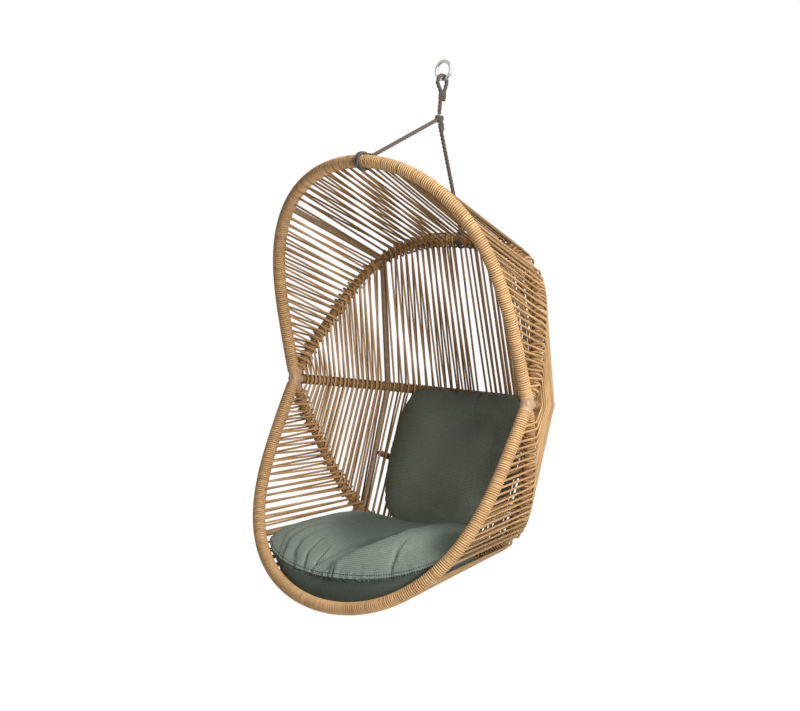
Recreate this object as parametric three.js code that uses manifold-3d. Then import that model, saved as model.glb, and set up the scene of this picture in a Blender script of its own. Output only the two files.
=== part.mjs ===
// Hanging pod chair. Five bound hoops fan out from two side knuckles and are strung with round
// fibre; a rope bridle carries the pod from its hood rim and its upper back hoop, and a knot joins
// the bridle to the hanging rope and its steel ring. Two loose cushions lie inside.
// Lengths are in millimetres and angles in degrees. In the pod's own frame the origin is midway
// between the knuckles, +X is the sitter's left, +Y points to the back and +Z points up.
import * as THREE from 'three';
import { mergeVertices } from 'three/addons/utils/BufferGeometryUtils.js';
import Module from 'manifold-3d';

const wasm = await Module();
wasm.setup();

// Frame sizes
const HALF_SPAN = 430; // pod's middle to a knuckle's middle
const RIM_RADIUS = 18.5; // hood and seat rims, over their fibre binding
const HOOP_RADIUS = 15; // the three hoops of the back, over their fibre binding
const RIB_RADIUS = 9; // bare painted tubes between the hoops
const CROSS_BAR_RADIUS = 10; // bound bar behind the back cushion
const KNUCKLE_RADIUS = 20; // round hub that the hoops are welded to
const KNUCKLE_HALF_WIDTH = 17; // hub's half length across the pod
const ARM_RADIUS = 13; // bare arms of the knuckle, of the same tube as the hoops
const ARM_LENGTH = 40; // knuckle's middle to where a hoop's binding starts
const SEAT_GAP = 0.3; // between a piece and what it is seated on

// Strung fibre
const FIBRE_RADIUS = 3.1; // circumradius of the three-sided strand
const FIBRE_GAP = 0.3; // between a turn of fibre and the hoop that it goes round
const HALF_TURN_LEAD = 0.5; // how far each end of a half turn lies from its middle, along the hoop
const FULL_TURN_LEAD = 4; // the same for a full turn, which has to clear itself
const KNUCKLE_CLEARANCE = 96; // along a hoop, from the knuckle's middle to the first turn
const RIB_CLEARANCE = 20; // along a hoop, from a rib's middle to the nearest turn
const CROWN_CLEARANCE = 24; // along a hoop, from its highest or lowest point to the nearest turn
const WING_TURNS = 8; // turns round each hoop between a knuckle and a rib
const CROWN_TURNS = 5; // turns round each hoop between a rib and the pod's middle
const LOWER_TURN_SHARE = 0.25; // of a turn's pitch, where a web's turns sit on its lower hoop
const UPPER_TURN_SHARE = 0.75; // and on its upper hoop, so that neighbouring webs interleave
const FIBRE_SIDES = 3;
const HALF_TURN_STEPS = 4;

// Each hoop lies in a plane through both knuckles. reach is its radius straight ahead, shoulder
// the radius at 45 degrees and flank the radius at 30 degrees from the knuckle line. lean is the
// plane's angle from level, up at the back, and rib the angle at which its ribs meet it.
const hoops = {
  hood_rim: { lean: 114.2, reach: 679, shoulder: 554, flank: 484, rib: 59.8, radius: RIM_RADIUS },
  upper_back_hoop: { lean: 66.6, reach: 490, shoulder: 472, flank: 439, rib: 56.6, radius: HOOP_RADIUS },
  middle_back_hoop: { lean: 0, reach: 368, shoulder: 390, flank: 405, rib: 42.5, radius: HOOP_RADIUS },
  lower_back_hoop: { lean: -63.4, reach: 500, shoulder: 479, flank: 442, rib: 57, radius: HOOP_RADIUS },
  seat_rim: { lean: -112.4, reach: 658, shoulder: 548, flank: 483, rib: 55.7, radius: RIM_RADIUS },
};
const CROSS_BAR_SHARE = 0.52; // of the way down the lower spines
const HOOP_STEPS = 40;
const HOOP_SIDES = 10;
const HUB_SIDES = 24;
const RIB_SIDES = 12;
const CROSS_BAR_STEPS = 10;
const TABLE_STEPS = 720; // of a hoop's quarter, in its table of distances
const NUDGE = 1 / TABLE_STEPS; // a small angle in radians, for a hoop's direction

// Hanging
const BALANCE_BACK = 31.5; // hanging line behind the knuckle line, straight above the pod's weight
const KNOT_HEIGHT = 782; // knot's middle above the knuckle line
const ROPE_RADIUS = 6;
const LASHING_RADIUS = 4;
const LASHING_GAP = 0.5; // between the coil and the hoop's binding
const LASHING_TURNS = 2;
const LASHING_PITCH = 9;
const KNOT_RADIUS = 14;
const ROPE_LENGTH = 105; // knot's middle to the middle of the rope's eye
const EYE_RADIUS = 14; // inside the rope's eye
const RING_RADIUS = 26; // middle line of the steel ring
const RING_WIRE_RADIUS = 5;
const ROPE_SIDES = 8;
const EYE_STEPS = 24;
const KNOT_STEPS = 16;
const KNOT_RINGS = 10;
const RING_SIDES = 10;
const RING_STEPS = 28;
const LASHING_SIDES = 6;
const LASHING_STEPS_PER_TURN = 16;

// Seat cushion: a boxed cushion that lies in the trough of the seat
const seat = {
  strutClearance: 10.5, // side's widest place to the middle of the seat struts
  front: -222.4, // front edge, behind the knuckle line when positive
  back: 132, // rear edge
  widestAt: -110,
  taper: 0.12, // of the width lost towards the back edge, as a share of the way there
  lift: -14, // of its underside from the plane between the seat's two hoops
  bandMiddle: 78, // side band's height at the pod's middle
  bandEnd: 32, // and at the cushion's ends
  crown: 112, // top's rise above the seam
  endDropShare: 0.35, // of the crown that is lost at the cushion's ends
  tuckShare: 0.3, // of the band's height, where its side turns in
  squareness: 3.4,
  domePowers: [2.2, 0.8],
};
// Back cushion: a pillow that leans on the strung back
const back = {
  halfWidth: 238,
  halfHeight: 200,
  centreDown: 188, // seam's middle below the knuckle line
  lean: 15,
  frontCrown: 92,
  rearCrown: 24,
  squareness: 4.5,
  drawInShare: 0.035, // how far its sides pull in between the corners
  domePowers: [2.4, 0.75],
};
const CUSHION_SPOKES = 40;
const topShares = [0.3, 0.55, 0.75, 0.9, 1]; // rings of a cushion, from its middle to its seam
const bottomShares = [0.985, 0.7, 0.35]; // and over its underside

const finishes = {
  fibre: { color: 0xc49b68, roughness: 0.6 },
  paintedTube: { color: 0x8a6a48, roughness: 0.5 },
  knuckle: { color: 0xc8a582, roughness: 0.5 },
  seatFabric: { color: 0x66756a, roughness: 0.9 },
  backFabric: { color: 0x4e524a, roughness: 0.9 },
  rope: { color: 0x5a5048, roughness: 0.9 },
  steel: { color: 0xb8b8b4, roughness: 0.3, metalness: 1 },
};

const chair = new THREE.Group();
const pod = new THREE.Group();
chair.add(pod);

function addPiece(parent, name, geometry, finish) {
  const mesh = new THREE.Mesh(geometry, new THREE.MeshStandardMaterial(finish));
  mesh.name = name;
  parent.add(mesh);
  return mesh;
}

// Solids in and out of the boolean library

const MERGE_WITHIN = 1e-4; // corners closer than this are one corner

function toSolid(geometry) {
  const bare = geometry.clone();
  bare.deleteAttribute('normal');
  bare.deleteAttribute('uv');
  const merged = mergeVertices(bare, MERGE_WITHIN);
  return new wasm.Manifold(new wasm.Mesh({
    numProp: 3,
    vertProperties: new Float32Array(merged.attributes.position.array),
    triVerts: new Uint32Array(merged.index.array),
  }));
}

function toGeometry(solid) {
  const mesh = solid.getMesh();
  const geometry = new THREE.BufferGeometry();
  geometry.setAttribute('position', new THREE.BufferAttribute(new Float32Array(mesh.vertProperties), 3));
  geometry.setIndex(new THREE.BufferAttribute(new Uint32Array(mesh.triVerts), 1));
  geometry.computeVertexNormals();
  return geometry;
}

// The sitter's right-hand copy of a left-hand piece
function mirrored(geometry) {
  const copy = geometry.clone().scale(-1, 1, 1);
  const corners = copy.index.array;
  for (let i = 0; i < corners.length; i += 3) {
    [corners[i + 1], corners[i + 2]] = [corners[i + 2], corners[i + 1]];
  }
  copy.computeVertexNormals();
  return copy;
}

// Tubes

const NEARLY_PARALLEL = 0.01; // squared sine between two directions that are too close to use

function roundSection(radius, sides) {
  const corners = [];
  for (let i = 0; i < sides; i += 1) {
    const turn = (2 * Math.PI * i) / sides;
    corners.push(new THREE.Vector2(radius * Math.cos(turn), radius * Math.sin(turn)));
  }
  return new THREE.Shape(corners);
}

function tubeAlong(path, radius, sides, steps) {
  return new THREE.ExtrudeGeometry(roundSection(radius, sides), {
    steps, extrudePath: path, bevelEnabled: false,
  });
}

// One unbroken many-sided tube through every point of a list, closed at both ends
function strandThrough(points, radius, sides) {
  const vertices = [];
  const faces = [];
  const heading = (i) => {
    const from = points[Math.max(i - 1, 0)];
    const to = points[Math.min(i + 1, points.length - 1)];
    return to.clone().sub(from).normalize();
  };
  let across = new THREE.Vector3(0, 0, 1).cross(heading(0));
  if (across.lengthSq() < NEARLY_PARALLEL) across = new THREE.Vector3(1, 0, 0).cross(heading(0));
  points.forEach((point, i) => {
    const along = heading(i);
    across.addScaledVector(along, -across.dot(along)).normalize();
    const third = along.clone().cross(across);
    for (let k = 0; k < sides; k += 1) {
      const turn = (2 * Math.PI * k) / sides;
      const corner = point.clone()
        .addScaledVector(across, radius * Math.cos(turn))
        .addScaledVector(third, radius * Math.sin(turn));
      vertices.push(corner.x, corner.y, corner.z);
    }
  });
  for (let i = 0; i + 1 < points.length; i += 1) {
    for (let k = 0; k < sides; k += 1) {
      const a = i * sides + k;
      const b = i * sides + ((k + 1) % sides);
      faces.push(a, b, b + sides, a, b + sides, a + sides);
    }
  }
  const last = (points.length - 1) * sides;
  for (let k = 1; k + 1 < sides; k += 1) {
    faces.push(0, k + 1, k, last, last + k, last + k + 1);
  }
  const geometry = new THREE.BufferGeometry();
  geometry.setAttribute('position', new THREE.Float32BufferAttribute(vertices, 3));
  geometry.setIndex(faces);
  geometry.computeVertexNormals();
  return geometry;
}

// Least gap between stretches of one unbroken strand that lie further than apart along it
function leastGap(points, apart, radius) {
  const samples = [];
  let along = 0;
  for (let i = 1; i < points.length; i += 1) {
    const span = points[i].distanceTo(points[i - 1]);
    const steps = Math.ceil(span / radius);
    for (let k = 1; k <= steps; k += 1) {
      const place = points[i - 1].clone().lerp(points[i], k / steps);
      samples.push({ place, along: along + (span * k) / steps });
    }
    along += span;
  }
  let least = Infinity;
  samples.forEach((near, i) => {
    for (const far of samples.slice(i)) {
      if (far.along - near.along > apart) least = Math.min(least, near.place.distanceTo(far.place));
    }
  });
  return least - 2 * radius;
}

// Hoops

// A hoop's radius is a sum of three waves that all start from nothing at the knuckles, weighted
// so that it passes through its flank, its shoulder and its reach.
const FLANK_ANGLE = Math.PI / 6;

function wave(times, angle) {
  return (1 - Math.cos(times * angle)) / 2;
}

function hoopRadiusAt(hoop, angle) {
  const growth = hoop.reach - HALF_SPAN;
  const swell = hoop.shoulder - (HALF_SPAN + hoop.reach) / 2;
  const flankByWaves = growth * wave(2, FLANK_ANGLE) + swell * wave(4, FLANK_ANGLE);
  const spread = wave(6, FLANK_ANGLE) - wave(2, FLANK_ANGLE);
  const pinch = (hoop.flank - HALF_SPAN - flankByWaves) / spread;
  return HALF_SPAN + (growth - pinch) * wave(2, angle) + swell * wave(4, angle)
    + pinch * wave(6, angle);
}

// The angle runs from the left knuckle over the middle to the right one
function hoopPoint(hoop, angle) {
  const radius = hoopRadiusAt(hoop, angle);
  const lean = THREE.MathUtils.degToRad(hoop.lean);
  const out = radius * Math.sin(angle);
  return new THREE.Vector3(
    radius * Math.cos(angle), out * Math.cos(lean), out * Math.sin(lean),
  );
}

for (const hoop of Object.values(hoops)) {
  hoop.distances = [0];
  let previous = hoopPoint(hoop, 0);
  for (let i = 1; i <= TABLE_STEPS; i += 1) {
    const point = hoopPoint(hoop, (i * Math.PI) / 2 / TABLE_STEPS);
    hoop.distances.push(hoop.distances[i - 1] + point.distanceTo(previous));
    previous = point;
  }
}

function angleAt(hoop, distance) {
  const table = hoop.distances;
  const i = table.findIndex((d) => d >= distance);
  const share = (distance - table[i - 1]) / (table[i] - table[i - 1]);
  return ((i - 1 + share) * Math.PI) / 2 / TABLE_STEPS;
}

function distanceAt(hoop, angle) {
  const place = (angle / (Math.PI / 2)) * TABLE_STEPS;
  const i = Math.min(Math.floor(place), TABLE_STEPS - 1);
  return hoop.distances[i] + (place - i) * (hoop.distances[i + 1] - hoop.distances[i]);
}

function ribAngle(hoop) {
  return THREE.MathUtils.degToRad(hoop.rib);
}

class HoopCurve extends THREE.Curve {
  constructor(hoop) {
    super();
    this.hoop = hoop;
    this.start = angleAt(hoop, ARM_LENGTH + SEAT_GAP);
  }

  getPoint(share, target = new THREE.Vector3()) {
    const angle = this.start + share * (Math.PI - 2 * this.start);
    return target.copy(hoopPoint(this.hoop, angle));
  }
}

function hoopTube(hoop, extra = 0) {
  return tubeAlong(new HoopCurve(hoop), hoop.radius + extra, HOOP_SIDES, HOOP_STEPS);
}

for (const [name, hoop] of Object.entries(hoops)) {
  addPiece(pod, name, hoopTube(hoop), finishes.fibre);
  hoop.cutter = toSolid(hoopTube(hoop, SEAT_GAP));
}

// Knuckle: a hub with one bare arm for each hoop, in line with the hoop's own end

function bar(from, to, radius, sides) {
  return tubeAlong(new THREE.LineCurve3(from, to), radius, sides, 1);
}

function knuckle() {
  const hub = new THREE.CylinderGeometry(
    KNUCKLE_RADIUS, KNUCKLE_RADIUS, 2 * KNUCKLE_HALF_WIDTH, HUB_SIDES,
  ).rotateZ(Math.PI / 2).translate(HALF_SPAN, 0, 0);
  let solid = toSolid(hub);
  for (const hoop of Object.values(hoops)) {
    const start = angleAt(hoop, ARM_LENGTH);
    const tip = hoopPoint(hoop, start);
    const heading = hoopPoint(hoop, start + NUDGE).sub(tip).normalize();
    const root = tip.clone().addScaledVector(heading, -ARM_LENGTH);
    solid = solid.add(toSolid(bar(root, tip, ARM_RADIUS, HOOP_SIDES)));
  }
  return toGeometry(solid);
}

// Ribs are coped to the hoops that they are welded between

function cut(geometry, ...cutters) {
  let solid = toSolid(geometry);
  for (const cutter of cutters) solid = solid.subtract(cutter);
  return toGeometry(solid);
}

function ribBar(upper, lower, radius) {
  const from = hoopPoint(upper, ribAngle(upper));
  const to = hoopPoint(lower, ribAngle(lower));
  return bar(from, to, radius, RIB_SIDES);
}

function rib(upper, lower) {
  return cut(ribBar(upper, lower, RIB_RADIUS), upper.cutter, lower.cutter);
}

class CrossBarCurve extends THREE.Curve {
  getPoint(share, target = new THREE.Vector3()) {
    const spread = (hoop) => ribAngle(hoop) + share * (Math.PI - 2 * ribAngle(hoop));
    const upper = hoopPoint(hoops.middle_back_hoop, spread(hoops.middle_back_hoop));
    const lower = hoopPoint(hoops.lower_back_hoop, spread(hoops.lower_back_hoop));
    return target.copy(upper.lerp(lower, CROSS_BAR_SHARE));
  }
}

const crossBar = tubeAlong(new CrossBarCurve(), CROSS_BAR_RADIUS, HOOP_SIDES, CROSS_BAR_STEPS);
const roundSpine = toSolid(
  ribBar(hoops.middle_back_hoop, hoops.lower_back_hoop, RIB_RADIUS + SEAT_GAP),
);
const roundOtherSpine = toSolid(mirrored(toGeometry(roundSpine)));
addPiece(pod, 'back_cross_bar', cut(crossBar, roundSpine, roundOtherSpine), finishes.fibre);

// Strung fibre. A strand crosses from hoop to hoop, goes round the far side of each and comes
// back on the other face of the web, so that every second strand lies on the inner face.

function turnRadius(hoop) {
  const chordSag = Math.cos(Math.PI / HALF_TURN_STEPS / 2);
  return (hoop.radius + FIBRE_GAP + FIBRE_RADIUS) / chordSag;
}

function stations(hoop, sector) {
  const ribDistance = distanceAt(hoop, ribAngle(hoop));
  const crown = hoop.distances[TABLE_STEPS];
  if (sector === 'wing') return [KNUCKLE_CLEARANCE, ribDistance - RIB_CLEARANCE, WING_TURNS];
  return [ribDistance + RIB_CLEARANCE, crown - CROWN_CLEARANCE, CROWN_TURNS];
}

// The points of one turn round a hoop. across points from the web to the hoop's far side.
function turnPoints(hoop, sector, place, other, fromOuter, halfTurns) {
  const [start, end, count] = stations(hoop, sector);
  const angle = angleAt(hoop, start + ((end - start) * place) / count);
  const middle = hoopPoint(hoop, angle);
  const tangent = hoopPoint(hoop, angle + NUDGE).sub(middle).normalize();
  const [otherStart, otherEnd] = stations(other, sector);
  const facing = angleAt(other, otherStart + ((otherEnd - otherStart) * place) / count);
  const across = middle.clone().sub(hoopPoint(other, facing));
  across.addScaledVector(tangent, -across.dot(tangent)).normalize();
  const outward = tangent.clone().cross(across).normalize();
  if (outward.dot(middle) < 0) outward.negate();
  const radius = turnRadius(hoop);
  const points = [];
  const steps = HALF_TURN_STEPS * halfTurns;
  const lead = halfTurns === 1 ? HALF_TURN_LEAD : FULL_TURN_LEAD;
  for (let i = 0; i <= steps; i += 1) {
    const turn = (Math.PI * halfTurns * i) / steps;
    const up = (fromOuter ? 1 : -1) * radius * Math.cos(turn);
    const climb = lead * (2 * (i / steps) - 1);
    points.push(middle.clone()
      .addScaledVector(outward, up)
      .addScaledVector(across, radius * Math.sin(turn))
      .addScaledVector(tangent, climb));
  }
  return points;
}

const webGaps = [];

// Fibre that goes the whole way round each hoop stays on the outer face, as under the cushion.
function web(upper, lower, sector, onOuterFaceOnly) {
  const halfTurns = onOuterFaceOnly ? 2 : 1;
  const count = stations(upper, sector)[2];
  const points = [];
  for (let i = 0; i < count; i += 1) {
    const low = i + LOWER_TURN_SHARE;
    const high = i + UPPER_TURN_SHARE;
    points.push(...turnPoints(lower, sector, low, upper, true, halfTurns));
    points.push(...turnPoints(upper, sector, high, lower, onOuterFaceOnly, halfTurns));
  }
  const halfTurnLength = Math.PI * turnRadius(lower);
  webGaps.push(leastGap(points, halfTurnLength, FIBRE_RADIUS));
  return strandThrough(points, FIBRE_RADIUS, FIBRE_SIDES);
}

const bays = [
  ['hood', hoops.hood_rim, hoops.upper_back_hoop, 'hood_strut'],
  ['upper_back', hoops.upper_back_hoop, hoops.middle_back_hoop, 'upper_spine'],
  ['lower_back', hoops.middle_back_hoop, hoops.lower_back_hoop, 'lower_spine'],
  ['seat', hoops.lower_back_hoop, hoops.seat_rim, 'seat_strut'],
];

function addPair(name, geometry, finish) {
  addPiece(pod, `left_${name}`, geometry, finish);
  addPiece(pod, `right_${name}`, mirrored(geometry), finish);
}

addPair('knuckle', knuckle(), finishes.knuckle);
for (const [bay, upper, lower, ribName] of bays) {
  const underCushion = bay === 'seat';
  addPair(ribName, rib(upper, lower), finishes.paintedTube);
  addPair(`${bay}_wing_web`, web(upper, lower, 'wing', false), finishes.fibre);
  addPair(`${bay}_web`, web(upper, lower, 'crown', underCushion), finishes.fibre);
}
console.log(`webs: least gap of a strand to itself ${Math.min(...webGaps).toFixed(2)} mm`);

// Cushions: closed rings from the top's middle over the seam and the band to the underside

function ringStack(rings, first, last) {
  const vertices = [first.x, first.y, first.z];
  for (const ring of rings) for (const p of ring) vertices.push(p.x, p.y, p.z);
  vertices.push(last.x, last.y, last.z);
  const faces = [];
  const n = CUSHION_SPOKES;
  const at = (ring, i) => 1 + ring * n + (i % n);
  for (let i = 0; i < n; i += 1) {
    faces.push(0, at(0, i), at(0, i + 1));
    for (let ring = 0; ring + 1 < rings.length; ring += 1) {
      faces.push(at(ring, i), at(ring + 1, i), at(ring + 1, i + 1));
      faces.push(at(ring, i), at(ring + 1, i + 1), at(ring, i + 1));
    }
    faces.push(vertices.length / 3 - 1, at(rings.length - 1, i + 1), at(rings.length - 1, i));
  }
  const geometry = new THREE.BufferGeometry();
  geometry.setAttribute('position', new THREE.Float32BufferAttribute(vertices, 3));
  geometry.setIndex(faces);
  geometry.computeVertexNormals();
  return geometry;
}

function squircle(turn, squareness) {
  const power = (value) => Math.sign(value) * Math.abs(value) ** (2 / squareness);
  return [power(Math.cos(turn)), power(Math.sin(turn))];
}

function dome(share, [inner, outer]) {
  return (1 - share ** inner) ** outer;
}

function cushionRing(share, place, height) {
  return Array.from(
    { length: CUSHION_SPOKES },
    (_, i) => place(share, (2 * Math.PI * i) / CUSHION_SPOKES, height),
  );
}

// The strung seat's middle height. Its strands join points of the two hoops that lie at the same
// share of the way from rib to middle.
const OUTSIDE_RIBS_SHARE = 0.5; // how far past its ribs the seat's surface is carried on

function strungSeatHeight(x, y) {
  const pointAt = (share) => {
    const [back, front] = [hoops.lower_back_hoop, hoops.seat_rim].map((hoop) => {
      const ribDistance = distanceAt(hoop, ribAngle(hoop));
      const crown = hoop.distances[TABLE_STEPS];
      return hoopPoint(hoop, angleAt(hoop, ribDistance + share * (crown - ribDistance)));
    });
    return back.clone().lerp(front, (y - back.y) / (front.y - back.y));
  };
  let outer = -OUTSIDE_RIBS_SHARE;
  let inner = 1;
  while (inner - outer > NUDGE) {
    const middle = (outer + inner) / 2;
    if (pointAt(middle).x > Math.abs(x)) outer = middle;
    else inner = middle;
  }
  return pointAt(inner).z;
}

// How far back a cushion moves before it rests on the pieces behind it
const LOOK_AHEAD = 20; // a step's greatest length
const SEAT_GAP_SHARE = 0.1; // of the seat gap, by which the resting place may be off

function travelBack(geometry, seats) {
  let solid = toSolid(geometry);
  let travel = 0;
  let room = LOOK_AHEAD;
  while (room > SEAT_GAP * SEAT_GAP_SHARE) {
    solid = solid.translate([0, room, 0]);
    travel += room;
    room = Math.min(...seats.map((seatSolid) => solid.minGap(seatSolid, LOOK_AHEAD))) - SEAT_GAP;
  }
  return travel;
}

function ribAcross(hoop) {
  return hoopPoint(hoop, ribAngle(hoop)).x;
}

function seatCushion() {
  const strutAcross = (ribAcross(hoops.lower_back_hoop) + ribAcross(hoops.seat_rim)) / 2;
  const halfWidth = strutAcross - seat.strutClearance;
  const middle = (seat.front + seat.back) / 2;
  const halfDepth = (seat.back - seat.front) / 2;
  const place = (share, turn, height) => {
    const [c, s] = squircle(turn, seat.squareness);
    const y = middle + halfDepth * s * share;
    const taper = 1 - (seat.taper * Math.max(y - seat.widestAt, 0)) / (seat.back - seat.widestAt);
    const x = halfWidth * taper * c * share;
    const across = (x / halfWidth) ** 2;
    const band = seat.bandMiddle + (seat.bandEnd - seat.bandMiddle) * across;
    const base = strungSeatHeight(x, y) + seat.lift;
    return new THREE.Vector3(x, y, base + height(band, across));
  };
  const nearTop = (share) => (band, across) => band
    + seat.crown * dome(share, seat.domePowers) * (1 - seat.endDropShare * across);
  const rings = topShares.map((share) => cushionRing(share, place, nearTop(share)));
  rings.push(cushionRing(1, place, (band) => band * seat.tuckShare));
  for (const share of bottomShares) rings.push(cushionRing(share, place, () => 0));
  const top = place(0, 0, (band) => band + seat.crown);
  return ringStack(rings, top, place(0, 0, () => 0));
}

function backCushion() {
  const lean = THREE.MathUtils.degToRad(back.lean);
  const place = (share, turn, depth) => {
    const [c, s] = squircle(turn, back.squareness);
    const pull = 1 - back.drawInShare * Math.cos(2 * turn) ** 2;
    const across = back.halfWidth * c * share * pull;
    const up = back.halfHeight * s * share * pull;
    return new THREE.Vector3(
      across,
      up * Math.sin(lean) + depth * Math.cos(lean),
      -back.centreDown + up * Math.cos(lean) - depth * Math.sin(lean),
    );
  };
  const domeAt = (share) => dome(share, back.domePowers);
  const front = topShares.map((share) => cushionRing(share, place, -back.frontCrown * domeAt(share)));
  const innerShares = topShares.slice(0, -1).reverse();
  const rear = innerShares.map((share) => cushionRing(share, place, back.rearCrown * domeAt(share)));
  return ringStack([...front, ...rear], place(0, 0, -back.frontCrown), place(0, 0, back.rearCrown));
}

// The cushions' left halves touch the same pieces as their right halves, mirrored
const behindBack = pod.children
  .filter((piece) => !piece.name.startsWith('right_') && !piece.name.startsWith('seat_'))
  .map((piece) => toSolid(piece.geometry));
const restingBackCushion = backCushion();
restingBackCushion.translate(0, travelBack(restingBackCushion, behindBack), 0);

addPiece(pod, 'seat_cushion', seatCushion(), finishes.seatFabric);
addPiece(pod, 'back_cushion', restingBackCushion, finishes.backFabric);

// Rope bridle, in the pod's frame
const knot = new THREE.Vector3(0, BALANCE_BACK, KNOT_HEIGHT);

function lashingRadius(hoop) {
  return (hoop.radius + LASHING_GAP + LASHING_RADIUS) / Math.cos(Math.PI / LASHING_STEPS_PER_TURN);
}

function lashingTop(hoop) {
  return hoopPoint(hoop, Math.PI / 2);
}

// A lashing is a coil round the hoop at its highest point, which runs along X there
function lashing(hoop) {
  const middle = lashingTop(hoop);
  const toKnot = knot.clone().sub(middle).normalize();
  const sideways = new THREE.Vector3(1, 0, 0).cross(toKnot);
  const radius = lashingRadius(hoop);
  const steps = LASHING_TURNS * LASHING_STEPS_PER_TURN;
  const points = [];
  for (let i = 0; i <= steps; i += 1) {
    const turn = (2 * Math.PI * LASHING_TURNS * i) / steps;
    const along = LASHING_PITCH * LASHING_TURNS * (i / steps - 0.5);
    points.push(middle.clone()
      .addScaledVector(toKnot, -radius * Math.cos(turn))
      .addScaledVector(sideways, radius * Math.sin(turn))
      .add(new THREE.Vector3(along, 0, 0)));
  }
  return { geometry: strandThrough(points, LASHING_RADIUS, LASHING_SIDES), points };
}

function ropeLeg(hoop) {
  const middle = lashingTop(hoop);
  const toKnot = knot.clone().sub(middle);
  const length = toKnot.length();
  toKnot.normalize();
  const start = lashingRadius(hoop) + LASHING_RADIUS + SEAT_GAP;
  const from = middle.clone().addScaledVector(toKnot, start);
  const to = middle.clone().addScaledVector(toKnot, length - KNOT_RADIUS - SEAT_GAP);
  return bar(from, to, ROPE_RADIUS, ROPE_SIDES);
}

for (const [name, hoop] of [['front', hoops.hood_rim], ['rear', hoops.upper_back_hoop]]) {
  const coil = lashing(hoop);
  addPiece(pod, `${name}_rope_lashing`, coil.geometry, finishes.rope);
  addPiece(pod, `${name}_rope_leg`, ropeLeg(hoop), finishes.rope);
  const gap = leastGap(coil.points, Math.PI * lashingRadius(hoop), LASHING_RADIUS);
  console.log(`${name} lashing: least gap to itself ${gap.toFixed(2)} mm`);
}

// Hanging rope and ring, upright in the chair's frame, whose origin is the ring's middle
const eyeDrop = EYE_RADIUS - RING_WIRE_RADIUS - SEAT_GAP;
const eyeMiddle = -RING_RADIUS - eyeDrop;
const knotHeight = eyeMiddle - ROPE_LENGTH;
pod.position.set(0, -BALANCE_BACK, knotHeight - KNOT_HEIGHT);

function hangingRope() {
  const eye = new THREE.TorusGeometry(EYE_RADIUS + ROPE_RADIUS, ROPE_RADIUS, ROPE_SIDES, EYE_STEPS)
    .rotateY(Math.PI / 2).translate(0, 0, eyeMiddle);
  const eyeFoot = eyeMiddle - EYE_RADIUS - ROPE_RADIUS;
  const foot = new THREE.Vector3(0, 0, knotHeight + KNOT_RADIUS + SEAT_GAP);
  const stem = bar(foot, new THREE.Vector3(0, 0, eyeFoot), ROPE_RADIUS, ROPE_SIDES);
  return toGeometry(toSolid(eye).add(toSolid(stem)));
}

addPiece(chair, 'hanging_rope', hangingRope(), finishes.rope);
addPiece(
  chair, 'rope_knot',
  new THREE.SphereGeometry(KNOT_RADIUS, KNOT_STEPS, KNOT_RINGS).rotateX(Math.PI / 2)
    .translate(0, 0, knotHeight),
  finishes.rope,
);
addPiece(
  chair, 'hanging_ring',
  new THREE.TorusGeometry(RING_RADIUS, RING_WIRE_RADIUS, RING_SIDES, RING_STEPS).rotateX(Math.PI / 2),
  finishes.steel,
);

export default chair;
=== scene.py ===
# %% [markdown]
# A hanging pod chair. Five hoops fan out from two side knuckles, wound and strung with round
# resin fibre, and a rope bridle carries them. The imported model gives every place, and each cell
# below makes one kind of piece around it with the surface that the real one has.

# %% Load the frame
import math

import bpy
import numpy as np
from mathutils import Matrix, Vector
from mathutils.bvhtree import BVHTree


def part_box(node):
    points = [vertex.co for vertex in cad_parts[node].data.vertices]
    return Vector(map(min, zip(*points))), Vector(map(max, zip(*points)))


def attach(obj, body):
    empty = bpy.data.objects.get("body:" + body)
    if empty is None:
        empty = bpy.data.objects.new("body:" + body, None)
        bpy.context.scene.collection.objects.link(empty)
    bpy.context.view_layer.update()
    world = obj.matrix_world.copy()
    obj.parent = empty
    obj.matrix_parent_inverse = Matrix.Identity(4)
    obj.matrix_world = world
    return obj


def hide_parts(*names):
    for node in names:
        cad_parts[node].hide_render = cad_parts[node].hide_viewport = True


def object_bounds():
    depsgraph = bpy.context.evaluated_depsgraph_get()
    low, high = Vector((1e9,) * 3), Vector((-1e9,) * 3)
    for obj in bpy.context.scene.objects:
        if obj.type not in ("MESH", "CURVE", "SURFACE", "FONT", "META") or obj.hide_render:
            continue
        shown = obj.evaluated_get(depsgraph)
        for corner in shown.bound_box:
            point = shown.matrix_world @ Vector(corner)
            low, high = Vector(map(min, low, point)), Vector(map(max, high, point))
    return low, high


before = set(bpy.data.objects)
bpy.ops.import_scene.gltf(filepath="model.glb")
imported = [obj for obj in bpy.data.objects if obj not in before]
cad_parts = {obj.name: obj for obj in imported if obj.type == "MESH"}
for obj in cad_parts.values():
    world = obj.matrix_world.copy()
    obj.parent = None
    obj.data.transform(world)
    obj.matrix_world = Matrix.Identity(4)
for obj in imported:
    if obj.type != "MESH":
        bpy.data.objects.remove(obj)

MM = 0.001
cad_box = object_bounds()
print("CAD box", [tuple(round(v, 4) for v in corner) for corner in cad_box])

# %% [markdown]
# Every place on the pod is counted from the middle between its knuckles. The knot hangs straight
# above the pod's weight, so the frame's knot gives that middle. Shapes are worked out in
# millimetres from there and turned to metres when they become meshes.

# %% The pod's own middle
KNOT_BEHIND = 31.5  # mm, knot's middle behind the knuckle line
KNOT_ABOVE = 782  # mm, and above it
knot_low, knot_high = (np.array(corner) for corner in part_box("rope_knot"))
POD_MIDDLE = (knot_low + knot_high) / 2 - np.array([0, KNOT_BEHIND, KNOT_ABOVE]) * MM


def in_row(points):
    """Points in the pod's millimetres, moved to the row frame in metres."""
    return POD_MIDDLE + np.asarray(points, float) * MM


print("pod middle", POD_MIDDLE.round(4))

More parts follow.
